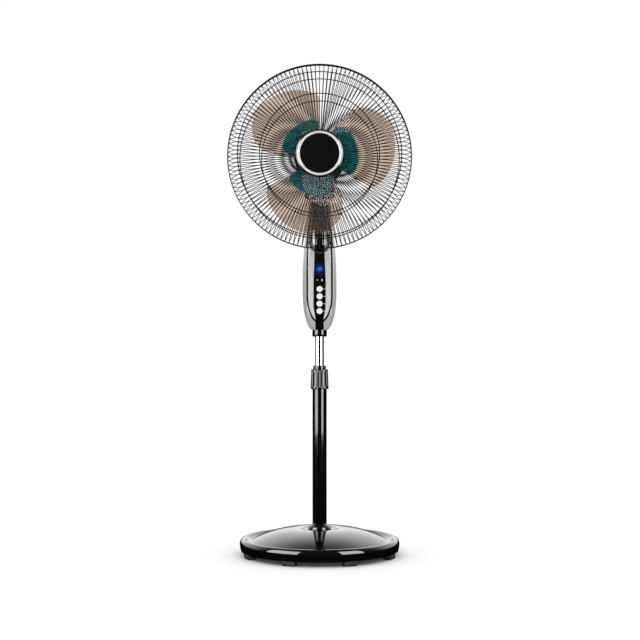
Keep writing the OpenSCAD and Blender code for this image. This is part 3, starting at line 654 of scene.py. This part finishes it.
rear_shell = shell_half("rear_shell_silver", False)
for x, z in ((-25, 592), (25, 592), (-28, 716), (28, 716)):
    cut(rear_shell, rod(3.4, 12, x, 25.5, z, vertices=32))
cut(rear_shell, rod(6.05, 30, 0, 30, 574))
smooth(rear_shell, 40)
edged(rear_shell, 0.0004)
ride(rear_shell, "column", "silver_plastic", silver_lacquer, "rear_shell")


# %% [markdown]
# ### Panel, black line and strip
# Each of these lies in the front shell with its face following the same curve. A thick skin of the body
# is cut with the outline of the piece, so the bright panel sits a hair lower, the black line stands a
# hair proud, and the gloss strip lies over both.


# %% Skins of the front
def front_skin(name, proud, thick, outline):
    skin = house_body(name, grow=proud)
    cut(skin, house_body("inside", grow=proud - thick))
    cut(skin, slab("outline", outline), "INTERSECT")
    return skin


bright_panel = front_skin("bright_panel", -0.25, 2.6, mirrored(panel_side(-1.5)))
cut(bright_panel, slab("strip_way", strip_outline(0.05)))
cut(bright_panel, slab("neck_way", yoke_edge))
edged(bright_panel, 0.0003)
ride(bright_panel, "column", "bright_plastic", bright_silver, "face_panel")

black_line = front_skin("black_trim_line", 0.3, 3.0, mirrored(panel_side(2.8)))
cut(black_line, slab("inner_way", mirrored(panel_side(-1.45))))
cut(black_line, slab("strip_way", strip_outline(0.05)))
cut(black_line, slab("neck_way", yoke_edge))
edged(black_line, 0.0003)
ride(black_line, "column", "gloss_black", satin_black, "trim_line")

button_heights = [655, 637, 619, 601]
control_strip = front_skin("control_strip_black", 0.55, 3.2, strip_outline(0))
cut(control_strip, slab("neck_way", yoke_edge))
BUTTON_R, LAMP_Z, MARK_Y = 7.35, 704, -28.45
holes = [(z, BUTTON_R + 0.1) for z in button_heights] + [(LAMP_Z, 5.05)]
for z, r in holes:
    cut(control_strip, rod(r, 40, 0, -30, z, vertices=48))
edged(control_strip, 0.0003)
ride(control_strip, "column", "gloss_black", strip_black, "control_strip")

# %% [markdown]
# ### Buttons, lamp and marks
# Four round white buttons stand in the strip, all from one turned cap with a soft edge and a slight
# crown. The lamp lens is a shallow dome. Two small marks sit above the buttons, and a short line beside
# each button takes the place of its printing.


# %% Buttons and lens
def turned_knob(name, profile, z, steps=48):
    # A profile of radius and distance in front of the column, turned about a line along Y at height z.
    piece = first_point(name, (profile[0][0] * MM, -profile[0][1] * MM, z * MM))
    draw_line([Vector((r * MM, -f * MM, z * MM)) for r, f in profile])
    bpy.ops.mesh.select_all(action="SELECT")
    bpy.ops.mesh.spin(steps=steps, angle=math.tau, center=(0, 0, z * MM), axis=(0, 1, 0))
    bpy.ops.object.mode_set(mode="OBJECT")
    close_up(piece)
    smooth(piece, 40)
    return piece


for number, z in enumerate(button_heights, 1):
    f = half_depth(z)
    cap = turned_knob(f"button_{number}_cap", [
        (0, f - 8.5), (2, f - 8.5), (2, f - 6.4), (8.4, f - 6.4), (8.4, f - 4.6), (BUTTON_R, f - 4.6),
        (BUTTON_R, f + 1.3), (7.15, f + 1.75), (6.7, f + 2.1), (5.8, f + 2.3), (3.5, f + 2.5), (0, f + 2.6)], z)
    ride(cap, f"button_{number}", "white_plastic", button_white, f"button_{number}")

lens = turned_knob("lamp_lens", [(0, 20), (7, 20), (7, 23.8), (5, 23.8), (5, 28.3), (4.4, 28.55), (0, 28.7)],
                   LAMP_Z)
ride(lens, "column", "blue_lens", blue_lens, "light_window")

marks = []
for x, wide in ((-5.5, 2.0), (5.8, 3.2)):
    mark = rod(0.5, 0.4, x, MARK_Y, 677, vertices=20)
    bpy.ops.transform.resize(value=(wide, 1, 1.6 * wide), center_override=mark.location)
    settle()
    marks.append(mark)
for z, length in zip(button_heights, (11, 6, 5, 5)):
    deselect()
    place = ((9.2 + length / 2) * MM, -(half_depth(z) + 0.5) * MM, z * MM)
    bpy.ops.mesh.primitive_cube_add(size=1, location=place)
    bpy.ops.transform.resize(value=(length * MM, 0.3 * MM, 0.9 * MM), center_override=place)
    settle()
    marks.append(bpy.context.object)
panel_marks = join(marks, "panel_marks")
soften(panel_marks, 0.00008, segments=1)
ride(panel_marks, "column", "white_plastic", button_white)

# %% [markdown]
# ## Neck
# The neck tilts between the two cheeks of the housing. Its lower end is a round silver tongue, which a
# turned profile gives; its black upper part widens over the cheeks and then narrows to the head, and is
# lofted like the housing. The black strip of the housing runs on up the front of both, in a shallow bed.

# %% Neck body
NECK_LOW, NECK_TOP, BALL_R = 799.0, 869.0, 26.0


def neck_shoulder(name, grow=0.0):
    rings = []
    for i in range(15):
        z = NECK_LOW - grow + (NECK_TOP - NECK_LOW + 2 * grow) * i / 14
        rise = max(0.0, (NECK_TOP - z) / 69)
        rings.append((z, 25.5 + 8.2 * rise ** 1.25 + grow, 22 + 5 * rise + grow))
    return loft(name, rings, edge=4.0)


def neck_tongue(name, grow=0.0, top=NECK_LOW):
    ball = BALL_R + grow
    line = [(ball * math.sin(math.radians(a)), TILT - ball * math.cos(math.radians(a)))
            for a in range(0, 91, 5)]
    return turned(name, line + [(ball, top), (0, top)], steps=96)


def strip_band(wide, name="band"):
    corners = ((-wide, 0.73), (wide, 0.73), (wide, 0.9), (-wide, 0.9))
    return block(name, [(x * MM, -0.06, z) for x, z in corners], (0, 0.055, 0))


for make, name, slot, material, replaced in (
        (neck_shoulder, "neck_black", "gloss_black", gloss_black, ("neck",)),
        (neck_tongue, "neck_tongue_silver", "silver_plastic", silver_lacquer, ())):
    body = make(name, grow=-0.05)
    bed = make("bed", grow=0.6)
    cut(bed, make("core", grow=-1.95))
    cut(bed, strip_band(12.05), "INTERSECT")
    cut(body, bed)
    edged(body, 0.0008, segments=3, angle=50)
    ride(body, "neck", slot, material, *replaced)

strips = []
for make, name in ((neck_shoulder, "neck_strip_black"), (neck_tongue, "tongue_strip")):
    strip = make(name, grow=-0.02)
    cut(strip, make("core", grow=-1.95))
    cut(strip, strip_band(12), "INTERSECT")
    edged(strip, 0.0002, angle=50)
    strips.append(strip)
neck_strip = join(strips, "neck_strip_black")
ride(neck_strip, "neck", "gloss_black", gloss_black, "neck_strip")

# %% [markdown]
# ## Motor housing
# Behind the blades the motor sits in a deep dark bell with a square chin that reaches down over the swivel.
# The bell is turned about the fan axis, the chin is pushed up out of an egg-shaped outline, and the joined
# body is hollowed and parted into a front and a rear cover. Sixteen slots let the warm air out at the back.

# %% Motor covers
WALL = 2.5


def motor_body(name, inset):
    line = [(0, 40 - inset), (46 - inset, 40 - inset)]
    line += [(46 + (14 - inset) * math.cos(math.radians(a)), 26 + (14 - inset) * math.sin(math.radians(a)))
             for a in range(80, -1, -10)]
    line += [((60 - inset) * math.sqrt(max(0.0, 1 - (i / 24) ** 2.6)), 10 - (78 - inset) * i / 24)
             for i in range(1, 25)]
    bell = turned(name, line, axis="Y", steps=128)
    outline = []
    for a in range(0, 360, 6):
        turn = math.radians(a)
        outline.append(((36 - inset) * math.cos(turn) * MM,
                        (54 - inset if a < 180 else 34 - inset) * math.sin(turn) * MM, (880 + inset) * MM))
    cut(bell, block("chin", outline, (0, 0, 0.06)), "UNION")
    return bell


def box_cutter(name, x, y, z):
    deselect()
    bpy.ops.mesh.primitive_cube_add(size=1, location=[(low + high) / 2 * MM for low, high in (x, y, z)])
    cutter = bpy.context.object
    cutter.name = name
    bpy.ops.transform.resize(value=[(high - low) * MM for low, high in (x, y, z)],
                             center_override=cutter.location)
    settle()
    return cutter


def motor_shell(name, front):
    shell = motor_body(name, 0)
    cut(shell, motor_body("inside", WALL))
    cut(shell, box_cutter("other_part", (-100, 100), (-8, 200) if front else (-200, -8), (800, 1170)))
    cut(shell, turned("swivel_way", [(0, 870), (17, 870), (17, 890), (0, 890)], steps=64))
    return shell


front_cover = motor_shell("motor_front_cover_shell", True)
nose = turned("nose", [(13, 39), (28, 39), (28, 41.2), (20, 41.2), (20, 58.4), (19.4, 59), (13, 59), (13, 39)],
              axis="Y", steps=72)
cut(front_cover, turned("shaft_way", [(0, 30), (13.2, 30), (13.2, 45), (0, 45)], axis="Y", steps=72))
cut(front_cover, nose, "UNION")
edged(front_cover, 0.0006, angle=45)
ride(front_cover, "head", "dark_plastic", dark_plastic, "motor_front_cover")

rear_cover = motor_shell("motor_rear_cover_shell", False)
vents = box_cutter("vents", (18, 40), (50, 90), (HEAD_Z / MM - 1.6, HEAD_Z / MM + 1.6))
bpy.ops.object.mode_set(mode="EDIT")
bpy.ops.mesh.select_all(action="SELECT")
bpy.ops.mesh.spin(steps=15, angle=math.radians(337.5), dupli=True, center=(0, 0, HEAD_Z), axis=(0, 1, 0))
bpy.ops.object.mode_set(mode="OBJECT")
cut(rear_cover, vents)
KNOB_X, KNOB_Y = -14.6 * MM, 19.9 * MM
deselect()
bpy.ops.mesh.primitive_cylinder_add(vertices=40, radius=4.6 * MM, depth=0.06, location=(KNOB_X, KNOB_Y, 1.03))
cut(rear_cover, bpy.context.object)
edged(rear_cover, 0.0006, angle=45)
ride(rear_cover, "head", "dark_plastic", dark_plastic, "motor_rear_cover")


# %% [markdown]
# ## Pull knob
# The swing of the head is switched with a small waisted knob on top of the motor. It is turned in place at
# the origin and then moved over its shaft.

# %% Knob and guard nut
def scallop(piece, beyond, deep, count, power=1):
    # Presses grooves into the side of a piece turned about the fan axis.
    for point in piece.data.vertices:
        across, up = point.co.x, point.co.z - HEAD_Z
        radius = math.hypot(across, up)
        if radius > beyond * MM:
            inset = deep * MM * max(0, math.cos(count * math.atan2(up, across))) ** power
            point.co.x *= 1 - inset / radius
            point.co.z = HEAD_Z + up * (1 - inset / radius)


knob = turned("swing_knob", [(3.1, 1002), (4.2, 1002), (4.3, 1031), (7.4, 1032.2), (8.1, 1033.4), (8.5, 1036),
                             (8.1, 1037.6), (7.2, 1039), (7.2, 1040.5), (7.9, 1043.5), (7.6, 1045.2),
                             (6.5, 1046.4), (4, 1046.9), (0, 1047)], steps=48)
edit_all(knob)
bpy.ops.transform.translate(value=(KNOB_X, KNOB_Y, 0))
bpy.ops.object.mode_set(mode="OBJECT")
apply_modifier(knob, "SOLIDIFY", thickness=0.0009, offset=-1)
close_up(knob)
smooth(knob, 40)
ride(knob, "knob", "gloss_black", gloss_black, "oscillation_knob")

guard_nut = turned("guard_nut_ring", [(20.1, 43.4), (30.4, 43.4), (31, 44), (31, 49.8), (30.4, 50.4),
                                      (27, 50.4), (27, 55.4), (26.4, 56), (20.1, 56), (20.1, 43.4)],
                                     axis="Y", steps=144)
scallop(guard_nut, 30, 1.1, 18)
smooth(guard_nut, 40)
ride(guard_nut, "head", "gloss_black", gloss_black, "guard_nut")

# %% [markdown]
# ## Guards
# Each guard has 128 thin wires, welded to two rings. One wire is drawn along its true path: a small circle
# extruded down the straight part and spun through the bends. Then the wire is repeated round the axis.
# The rear wires run straight out and a little forward from the centre plate and turn forward at the rim;
# the front wires lie flat, bend over and lean outwards to the rim. A wire is under two millimetres thick, so
# eight sides make it round enough.

# %% Wires
WIRE_R, RING_R, WIRE_COUNT = 0.95 * MM, 1.2 * MM, 128
RIM_R, RIM_F, FRONT_F = 217.5 * MM, 113 * MM, 183 * MM


def wire_end(name, place, rotation):
    deselect()
    bpy.ops.mesh.primitive_circle_add(vertices=8, radius=WIRE_R, fill_type="NOTHING", location=place,
                                      rotation=rotation)
    piece = bpy.context.object
    piece.name = name
    settle()
    bpy.ops.object.mode_set(mode="EDIT")
    bpy.ops.mesh.select_all(action="SELECT")
    return piece


def bend(angle, steps, centre, direction):
    # The spin tool turns clockwise about its axis, so the angle is taken the other way.
    bpy.ops.mesh.spin(steps=steps, angle=-angle, center=centre, axis=direction)


def repeat_round(piece, count):
    bpy.ops.mesh.select_all(action="SELECT")
    bpy.ops.mesh.fill_holes(sides=8)
    bpy.ops.mesh.normals_make_consistent(inside=False)
    bpy.ops.mesh.select_all(action="SELECT")
    bpy.ops.mesh.spin(steps=count - 1, angle=math.tau * (count - 1) / count, dupli=True, center=(0, 0, HEAD_Z),
                      axis=(0, 1, 0))
    bpy.ops.object.mode_set(mode="OBJECT")
    smooth(piece, 60)


def guard_ring(name, radius, f, thick=RING_R):
    deselect()
    bpy.ops.mesh.primitive_torus_add(major_radius=radius, minor_radius=thick, major_segments=220,
                                     minor_segments=10, location=(0, -f, HEAD_Z), rotation=(math.pi / 2, 0, 0))
    ring = bpy.context.object
    ring.name = name
    settle()
    smooth(ring, 60)
    return ring


# %% Front guard
BEND_R, LEAN = 20 * MM, math.radians(70)
BEND_F = FRONT_F - BEND_R
SIDE_F = FRONT_F - BEND_R * (1 - math.cos(LEAN))
SIDE_X = RIM_R - (SIDE_F - RIM_F - 0.001) / math.tan(LEAN)
BEND_X = SIDE_X - BEND_R * math.sin(LEAN)
front_wire = wire_end("front_wires", (0.048, -FRONT_F, HEAD_Z), (0, math.pi / 2, 0))
bpy.ops.mesh.extrude_region_move(TRANSFORM_OT_translate={"value": (BEND_X - 0.048, 0, 0)})
bend(LEAN, 10, (BEND_X, -BEND_F, HEAD_Z), (0, 0, 1))
bpy.ops.mesh.extrude_region_move(TRANSFORM_OT_translate={"value": (RIM_R - SIDE_X, SIDE_F - RIM_F - 0.001, 0)})
repeat_round(front_wire, WIRE_COUNT)
TOUCH = WIRE_R + RING_R
edge_f = BEND_F + math.sqrt((BEND_R - TOUCH) ** 2 - (0.193 - BEND_X) ** 2)
front_rings = [guard_ring("ring", 0.141, FRONT_F - TOUCH), guard_ring("ring", 0.193, edge_f)]
front_guard = join([front_wire] + front_rings, "front_guard_wires")
ride(front_guard, "head", "black_paint", black_wire, "front_guard")

# %% Rear guard
REAR_R, TURN = 42.4 * MM, math.radians(10.7)
rear_x, rear_f = RIM_R - REAR_R, 105.4 * MM
slope_x, slope_f = rear_x + REAR_R * math.sin(TURN), rear_f - REAR_R * math.cos(TURN)
run = slope_x - 0.054
rear_wire = wire_end("rear_wires", (0.054, -slope_f + run * math.tan(TURN), HEAD_Z), (0, math.pi / 2, -TURN))
bpy.ops.mesh.extrude_region_move(TRANSFORM_OT_translate={"value": (run, -run * math.tan(TURN), 0)})
bend(math.pi / 2 - TURN, 12, (rear_x, -rear_f, HEAD_Z), (0, 0, -1))
repeat_round(rear_wire, WIRE_COUNT)
inner_f = slope_f - (slope_x - 0.141) * math.tan(TURN) + TOUCH / math.cos(TURN)
outer_f = rear_f - math.sqrt((REAR_R - TOUCH) ** 2 - (0.193 - rear_x) ** 2)
rear_rings = [guard_ring("ring", 0.141, inner_f), guard_ring("ring", 0.193, outer_f)]
plate = turned("plate", [(20.4, 41.4), (57.8, 41.4), (58, 41.6), (58, 43.1), (57.8, 43.3), (20.4, 43.3),
                         (20.4, 41.4)], axis="Y", steps=96)
smooth(plate, 40)
rear_guard = join([rear_wire, plate] + rear_rings, "rear_guard_wires")
ride(rear_guard, "head", "black_paint", black_wire, "rear_guard")

# %% Rim ring
rim = turned("rim_clip_ring", [(218.5, 104), (220.4, 105.1), (220.95, 106.2), (220.95, 119.8), (220.4, 120.9),
                               (218.5, 122), (218.5, 104)], axis="Y", steps=256)
smooth(rim, 40)
ride(rim, "head", "black_paint", black_wire, "rim_ring")

# %% [markdown]
# ## Badge
# The middle of the front guard is closed by a round badge: two black discs that clamp the wires, a matt
# silver ring and a domed black cap with one fine groove. The cap stays plain.

# %% Badge
holder_back = turned("holder_back", [(0, 180), (55.6, 180), (56, 180.4), (56, 181.6), (55.6, 182), (0, 182)],
                     axis="Y", steps=128)
holder = turned("badge_holder_disc", [(0, 184), (55.4, 184), (56, 184.5), (56, 185.6), (55.7, 186.3),
                                      (55, 186.8), (0, 186.8)], axis="Y", steps=128)
for disc in (holder_back, holder):
    smooth(disc, 40)
badge_holder = join([holder, holder_back], "badge_holder_discs")
ride(badge_holder, "head", "gloss_black", gloss_black, "badge_holder")

silver_ring = turned("badge_silver_ring", [(46.6, 186.85), (52.2, 186.85), (52.2, 188.2), (51.9, 188.8),
                                           (51.2, 189.3), (47.9, 189.4), (47.1, 189.1), (46.6, 188.4),
                                           (46.6, 186.85)],
                     axis="Y", steps=160)
smooth(silver_ring, 40)
ride(silver_ring, "head", "badge_silver", badge_silver, "badge_ring")

cap_line = [(0, 186.85), (46.5, 186.85), (46.5, 188.4), (46.3, 188.65), (45.9, 188.78), (43.6, 188.86),
            (43.3, 188.5), (42.7, 188.5), (42.4, 188.9)]
cap_line += [(r, 189.4 - 0.5 * (r / 42.4) ** 2) for r in (38, 32, 26, 20, 14, 8, 0)]
badge_cap = turned("badge_black_cap", cap_line, axis="Y", steps=160)
smooth(badge_cap, 30)
ride(badge_cap, "head", "gloss_black", gloss_black, "badge_cap")

# %% [markdown]
# ## Blades
# Three broad smoke-tinted blades and, just in front of their roots, three small teal ones turn together.
# Each blade is a thin moulded sheet with a straight leading edge, a tip that follows the guard and a long
# trailing edge; it climbs toward the front as it sweeps back. A grid is laid out over the blade, each
# point set by its radius and its place between the two edges, and a thickness gives the sheet its body.

# %% Sheet of a blade
ROTOR_F, TIP_R = 113.0, 187.0


def lead_edge(r):
    return 0 if r < 144 else 0.622 * math.degrees(math.asin(min(1, ((r - 144) / (TIP_R - 144)) ** 1.43)))


def trail_edge(r):
    u = max(0.0, (r - 50) / (TIP_R - 50))
    return 94 - 14 * u - 24 * u ** 6


def small_lead(r):
    return 12 * max(0.0, (r - 82) / 10) ** 2


def small_trail(r):
    return 92 - 16 * max(0.0, (r - 48) / 44) ** 3


def lift(a):
    return (a - 47) * 0.5 - 5 * math.sin(math.radians(180 * a / 94))


def blade_sheet(name, inner, outer, lead, trail, f, steps_out, steps_round):
    deselect()
    bpy.ops.mesh.primitive_grid_add(x_subdivisions=steps_out, y_subdivisions=steps_round, size=1)
    sheet = bpy.context.object
    sheet.name = name
    for point in sheet.data.vertices:
        out, round_ = point.co.x + 0.5, point.co.y + 0.5
        out = 1 - (1 - out) ** 1.35
        r = inner + (outer - inner) * out
        a = lead(r) + (trail(r) - lead(r)) * round_
        turn = math.radians(a + 90)
        point.co = (r * math.cos(turn) * MM, -(f + lift(a)) * MM, HEAD_Z + r * math.sin(turn) * MM)
    close_up(sheet)
    return sheet


def three_round(piece):
    edit_all(piece)
    bpy.ops.mesh.spin(steps=2, angle=math.radians(240), dupli=True, center=(0, 0, HEAD_Z), axis=(0, 1, 0))
    bpy.ops.object.mode_set(mode="OBJECT")


def moulded_blade(name, thick, *shape):
    blade = blade_sheet(name, *shape)
    apply_modifier(blade, "SOLIDIFY", thickness=thick * MM, offset=0)
    close_up(blade)
    soften(blade, thick * 0.35 * MM, segments=3, angle=50)
    three_round(blade)
    smooth(blade, 50)
    return blade


# %% Smoke blades
big_blades = moulded_blade("big_blades", 1.9, 40.4, TIP_R - 0.6, lead_edge, trail_edge, ROTOR_F, 40, 48)
hub = turned("hub", [(4.1, 90), (10, 90), (10, 134), (36.5, 134), (36.5, 84.6), (37, 84), (39.4, 84),
                     (39.9, 84.6), (39.9, 136), (39.2, 137.8), (37, 139), (4.1, 139), (4.1, 90)],
                    axis="Y", steps=128)
smooth(hub, 40)
rotor = join([big_blades, hub], "smoke_blades")
ride(rotor, "rotor", "smoke_plastic", smoke_tint, "blade_rotor")

# %% Teal blades
small_blades = moulded_blade("small_blades", 1.5, 41.9, 92.8, small_lead, small_trail, ROTOR_F + 4.5, 18, 36)
sleeve = turned("sleeve", [(4.4, 139.25), (38, 139.25), (40.15, 137.1), (40.15, 96), (41.55, 96), (41.55, 138),
                           (41, 139.6), (39, 140.9), (4.4, 140.9), (4.4, 139.25)], axis="Y", steps=128)
way = blade_sheet("blade_way", 39, 43, lambda r: -2, lambda r: 97, ROTOR_F + 1.6, 2, 36)
bpy.ops.object.mode_set(mode="EDIT")
bpy.ops.mesh.select_all(action="SELECT")
bpy.ops.mesh.extrude_region_move(TRANSFORM_OT_translate={"value": (0, 0.06, 0)})
bpy.ops.object.mode_set(mode="OBJECT")
close_up(way)
three_round(way)
cut(sleeve, way)
smooth(sleeve, 40)
teal_rotor = join([small_blades, sleeve], "teal_blades")
ride(teal_rotor, "rotor", "teal_plastic", teal_tint, "inner_rotor")

blade_nut = turned("blade_nut_cap", [(4.1, 141.2), (16.6, 141.2), (17, 141.7), (17, 142.8), (16, 144.8),
                                     (13, 149), (11, 150.2), (8, 151), (4, 151.4), (0, 151.5)],
                                    axis="Y", steps=96)
scallop(blade_nut, 12, 1.6, 6, power=2)
apply_modifier(blade_nut, "SOLIDIFY", thickness=0.0015, offset=-1)
close_up(blade_nut)
smooth(blade_nut, 40)
ride(blade_nut, "rotor", "gloss_black", gloss_black, "blade_nut")

# %% [markdown]
# ## Feet
# Eight rubber pads sit in a ring under the base. One pad is a short piece of a turned bar, softened at
# its edges, with a hole for its screw; the other seven are its copies.

# %% Feet
FOOT_RING, FOOT_ARC = 183, 9.4
pad = turned("rubber_feet", [(174, 0), (192, 0), (193, 1.2), (193, 11.9), (173, 11.9), (173, 1.2), (174, 0)],
             steps=6, angle=FOOT_ARC)
edit_all(pad)
bpy.ops.mesh.fill_holes(sides=0)
bpy.ops.mesh.normals_make_consistent(inside=False)
bpy.ops.object.mode_set(mode="OBJECT")
pick(pad)
bpy.ops.transform.rotate(value=-math.radians(22.5 + FOOT_ARC / 2), orient_axis="Z", center_override=(0, 0, 0))
settle()
spot = math.radians(22.5)
screw_way = turned("screw_way", [(0, -1), (4.3, -1), (4.3, 5), (2.3, 5), (2.3, 13), (0, 13)], steps=40)
pick(screw_way)
bpy.ops.transform.translate(value=(FOOT_RING * MM * math.cos(spot), FOOT_RING * MM * math.sin(spot), 0))
settle()
cut(pad, screw_way)
soften(pad, 0.0007, segments=2, angle=40)
edit_all(pad)
bpy.ops.mesh.spin(steps=7, angle=math.radians(315), dupli=True, center=(0, 0, 0), axis=(0, 0, 1))
bpy.ops.object.mode_set(mode="OBJECT")
smooth(pad, 40)
ride(pad, "base", "rubber", black_rubber, "feet")

# %% [markdown]
# ## Parts that stay as they are
# The fasteners and the workings inside keep their exact shapes. Each gets the finish of what it is made
# of: zinc-plated screws, cast brackets, a laminated stator with copper windings, nylon gears.

# %% Finishes for the exact parts
slot_finish = {
    "gloss_black": gloss_black, "black_paint": black_wire, "rubber": black_rubber, "dark_plastic": dark_plastic,
    "steel": plain_steel, "cast_aluminium": cast_aluminium, "chrome_tube": chrome_tube,
    "silver_plastic": silver_lacquer, "bright_plastic": bright_silver, "badge_silver": badge_silver,
    "blue_lens": blue_lens, "white_plastic": gear_nylon, "board": circuit_green, "copper": wound_copper,
    "smoke_plastic": smoke_tint, "teal_plastic": teal_tint,
}
own_finish = {"stator": laminated_steel, "rotor_core": laminated_steel}
for part in frame["record"]["subparts"]:
    node = frame["nodes"][part["node"]]
    material = own_finish.get(part["node"], slot_finish[part["material_slot"]])
    if not node.material_slots:
        node.data.materials.append(material)
    for place in node.material_slots:
        place.material = material
print("finishes given to", len(frame["nodes"]), "nodes")

# %% [markdown]
# ## Studio
# Two tall soft lights stand left and right of the fan and draw the long bright bands on its tubes. The
# room is white behind the fan and dim in front of it, so that black plastic stays black and its edges
# and the dome of the base pick up the white. The camera sees plain white.

# %% Lights
SOFTBOX_LOW, SOFTBOX_HIGH, DISTANCE = 0.14, 2.2, 2.0


def softbox(name, bearing, half_angle, radiance):
    light = bpy.data.lights.new(name, "AREA")
    light.shape = "RECTANGLE"
    light.size = 2 * DISTANCE * math.tan(math.radians(half_angle))
    light.size_y = SOFTBOX_HIGH - SOFTBOX_LOW
    light.energy = radiance * math.pi * light.size * light.size_y
    lamp = bpy.data.objects.new(name, light)
    bpy.context.scene.collection.objects.link(lamp)
    turn = math.radians(bearing)
    lamp.location = (DISTANCE * math.sin(turn), -DISTANCE * math.cos(turn), (SOFTBOX_LOW + SOFTBOX_HIGH) / 2)
    lamp.rotation_euler = (math.pi / 2, 0, turn)
    lamp.visible_diffuse = False
    lamp.visible_transmission = False
    return lamp


softbox("left_softbox", -53.5, 23.5, 7.0)
softbox("right_softbox", 46.5, 16.5, 7.0)

# %% Room
world = bpy.data.worlds.new("room")
bpy.context.scene.world = world
world.use_nodes = True
world.cycles.sampling_method = "NONE"
nodes, links = world.node_tree.nodes, world.node_tree.links
nodes.clear()


def add(kind, **values):
    node = nodes.new(kind)
    for key, value in values.items():
        setattr(node, key, value)
    return node


def slope(source, low, high, to_low=0.0, to_high=1.0):
    node = add("ShaderNodeMapRange", interpolation_type="SMOOTHSTEP")
    for key, value in zip(("From Min", "From Max", "To Min", "To Max"), (low, high, to_low, to_high)):
        node.inputs[key].default_value = value
    links.new(source, node.inputs["Value"])
    return node.outputs["Result"]


direction = add("ShaderNodeTexCoord")
parts = add("ShaderNodeSeparateXYZ")
links.new(direction.outputs["Generated"], parts.inputs[0])
behind = slope(parts.outputs["Y"], -0.1, 0.5)
low_down = slope(parts.outputs["Z"], 0.97, 0.55)
above_floor = slope(parts.outputs["Z"], 0.02, 0.16)
band = add("ShaderNodeMath", operation="MULTIPLY")
links.new(low_down, band.inputs[0])
links.new(above_floor, band.inputs[1])
wall = add("ShaderNodeMath", operation="MULTIPLY")
links.new(behind, wall.inputs[0])
links.new(band.outputs[0], wall.inputs[1])
upward = slope(parts.outputs["Z"], -0.02, 0.02, 0.0, 0.05)
room_light = add("ShaderNodeMath", operation="MULTIPLY_ADD")
links.new(wall.outputs[0], room_light.inputs[0])
room_light.inputs[1].default_value = 1.35
links.new(upward, room_light.inputs[2])
ray = add("ShaderNodeLightPath")


def choose(switch, otherwise, value):
    # Gives value on one kind of ray and the other light on the rest.
    mix = add("ShaderNodeMix", data_type="FLOAT")
    links.new(switch, mix.inputs["Factor"])
    links.new(otherwise, mix.inputs["A"])
    mix.inputs["B"].default_value = value
    return mix.outputs["Result"]


clear_view = choose(ray.outputs["Is Transmission Ray"], room_light.outputs[0], 1.0)
soft_light = choose(ray.outputs["Is Diffuse Ray"], clear_view, 1.15)
white = choose(ray.outputs["Is Camera Ray"], soft_light, 1.02)
background = add("ShaderNodeBackground")
links.new(white, background.inputs["Strength"])
background.inputs["Color"].default_value = (1, 1, 1, 1)
output = add("ShaderNodeOutputWorld")
links.new(background.outputs[0], output.inputs["Surface"])

# %% Floor
deselect()
bpy.ops.mesh.primitive_plane_add(size=60, location=(0, 0, 0))
floor = bpy.context.object
floor.name = "floor"
paper = bpy.data.materials.new("white_paper")
paper.use_nodes = True
shader = paper.node_tree.nodes["Principled BSDF"]
shader.inputs["Base Color"].default_value = (0.9, 0.9, 0.9, 1)
shader.inputs["Roughness"].default_value = 0.9
shader.inputs["Emission Color"].default_value = (1, 1, 1, 1)
shader.inputs["Emission Strength"].default_value = 0.02
floor.data.materials.append(paper)
floor.visible_glossy = False
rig.stage(floor)

# %% Finish
with open("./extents.json", "w") as file:
    json.dump({"cad": [list(c) for c in cad_box], "visual": [list(c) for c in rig.bounds()]}, file)
print(open("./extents.json").read())
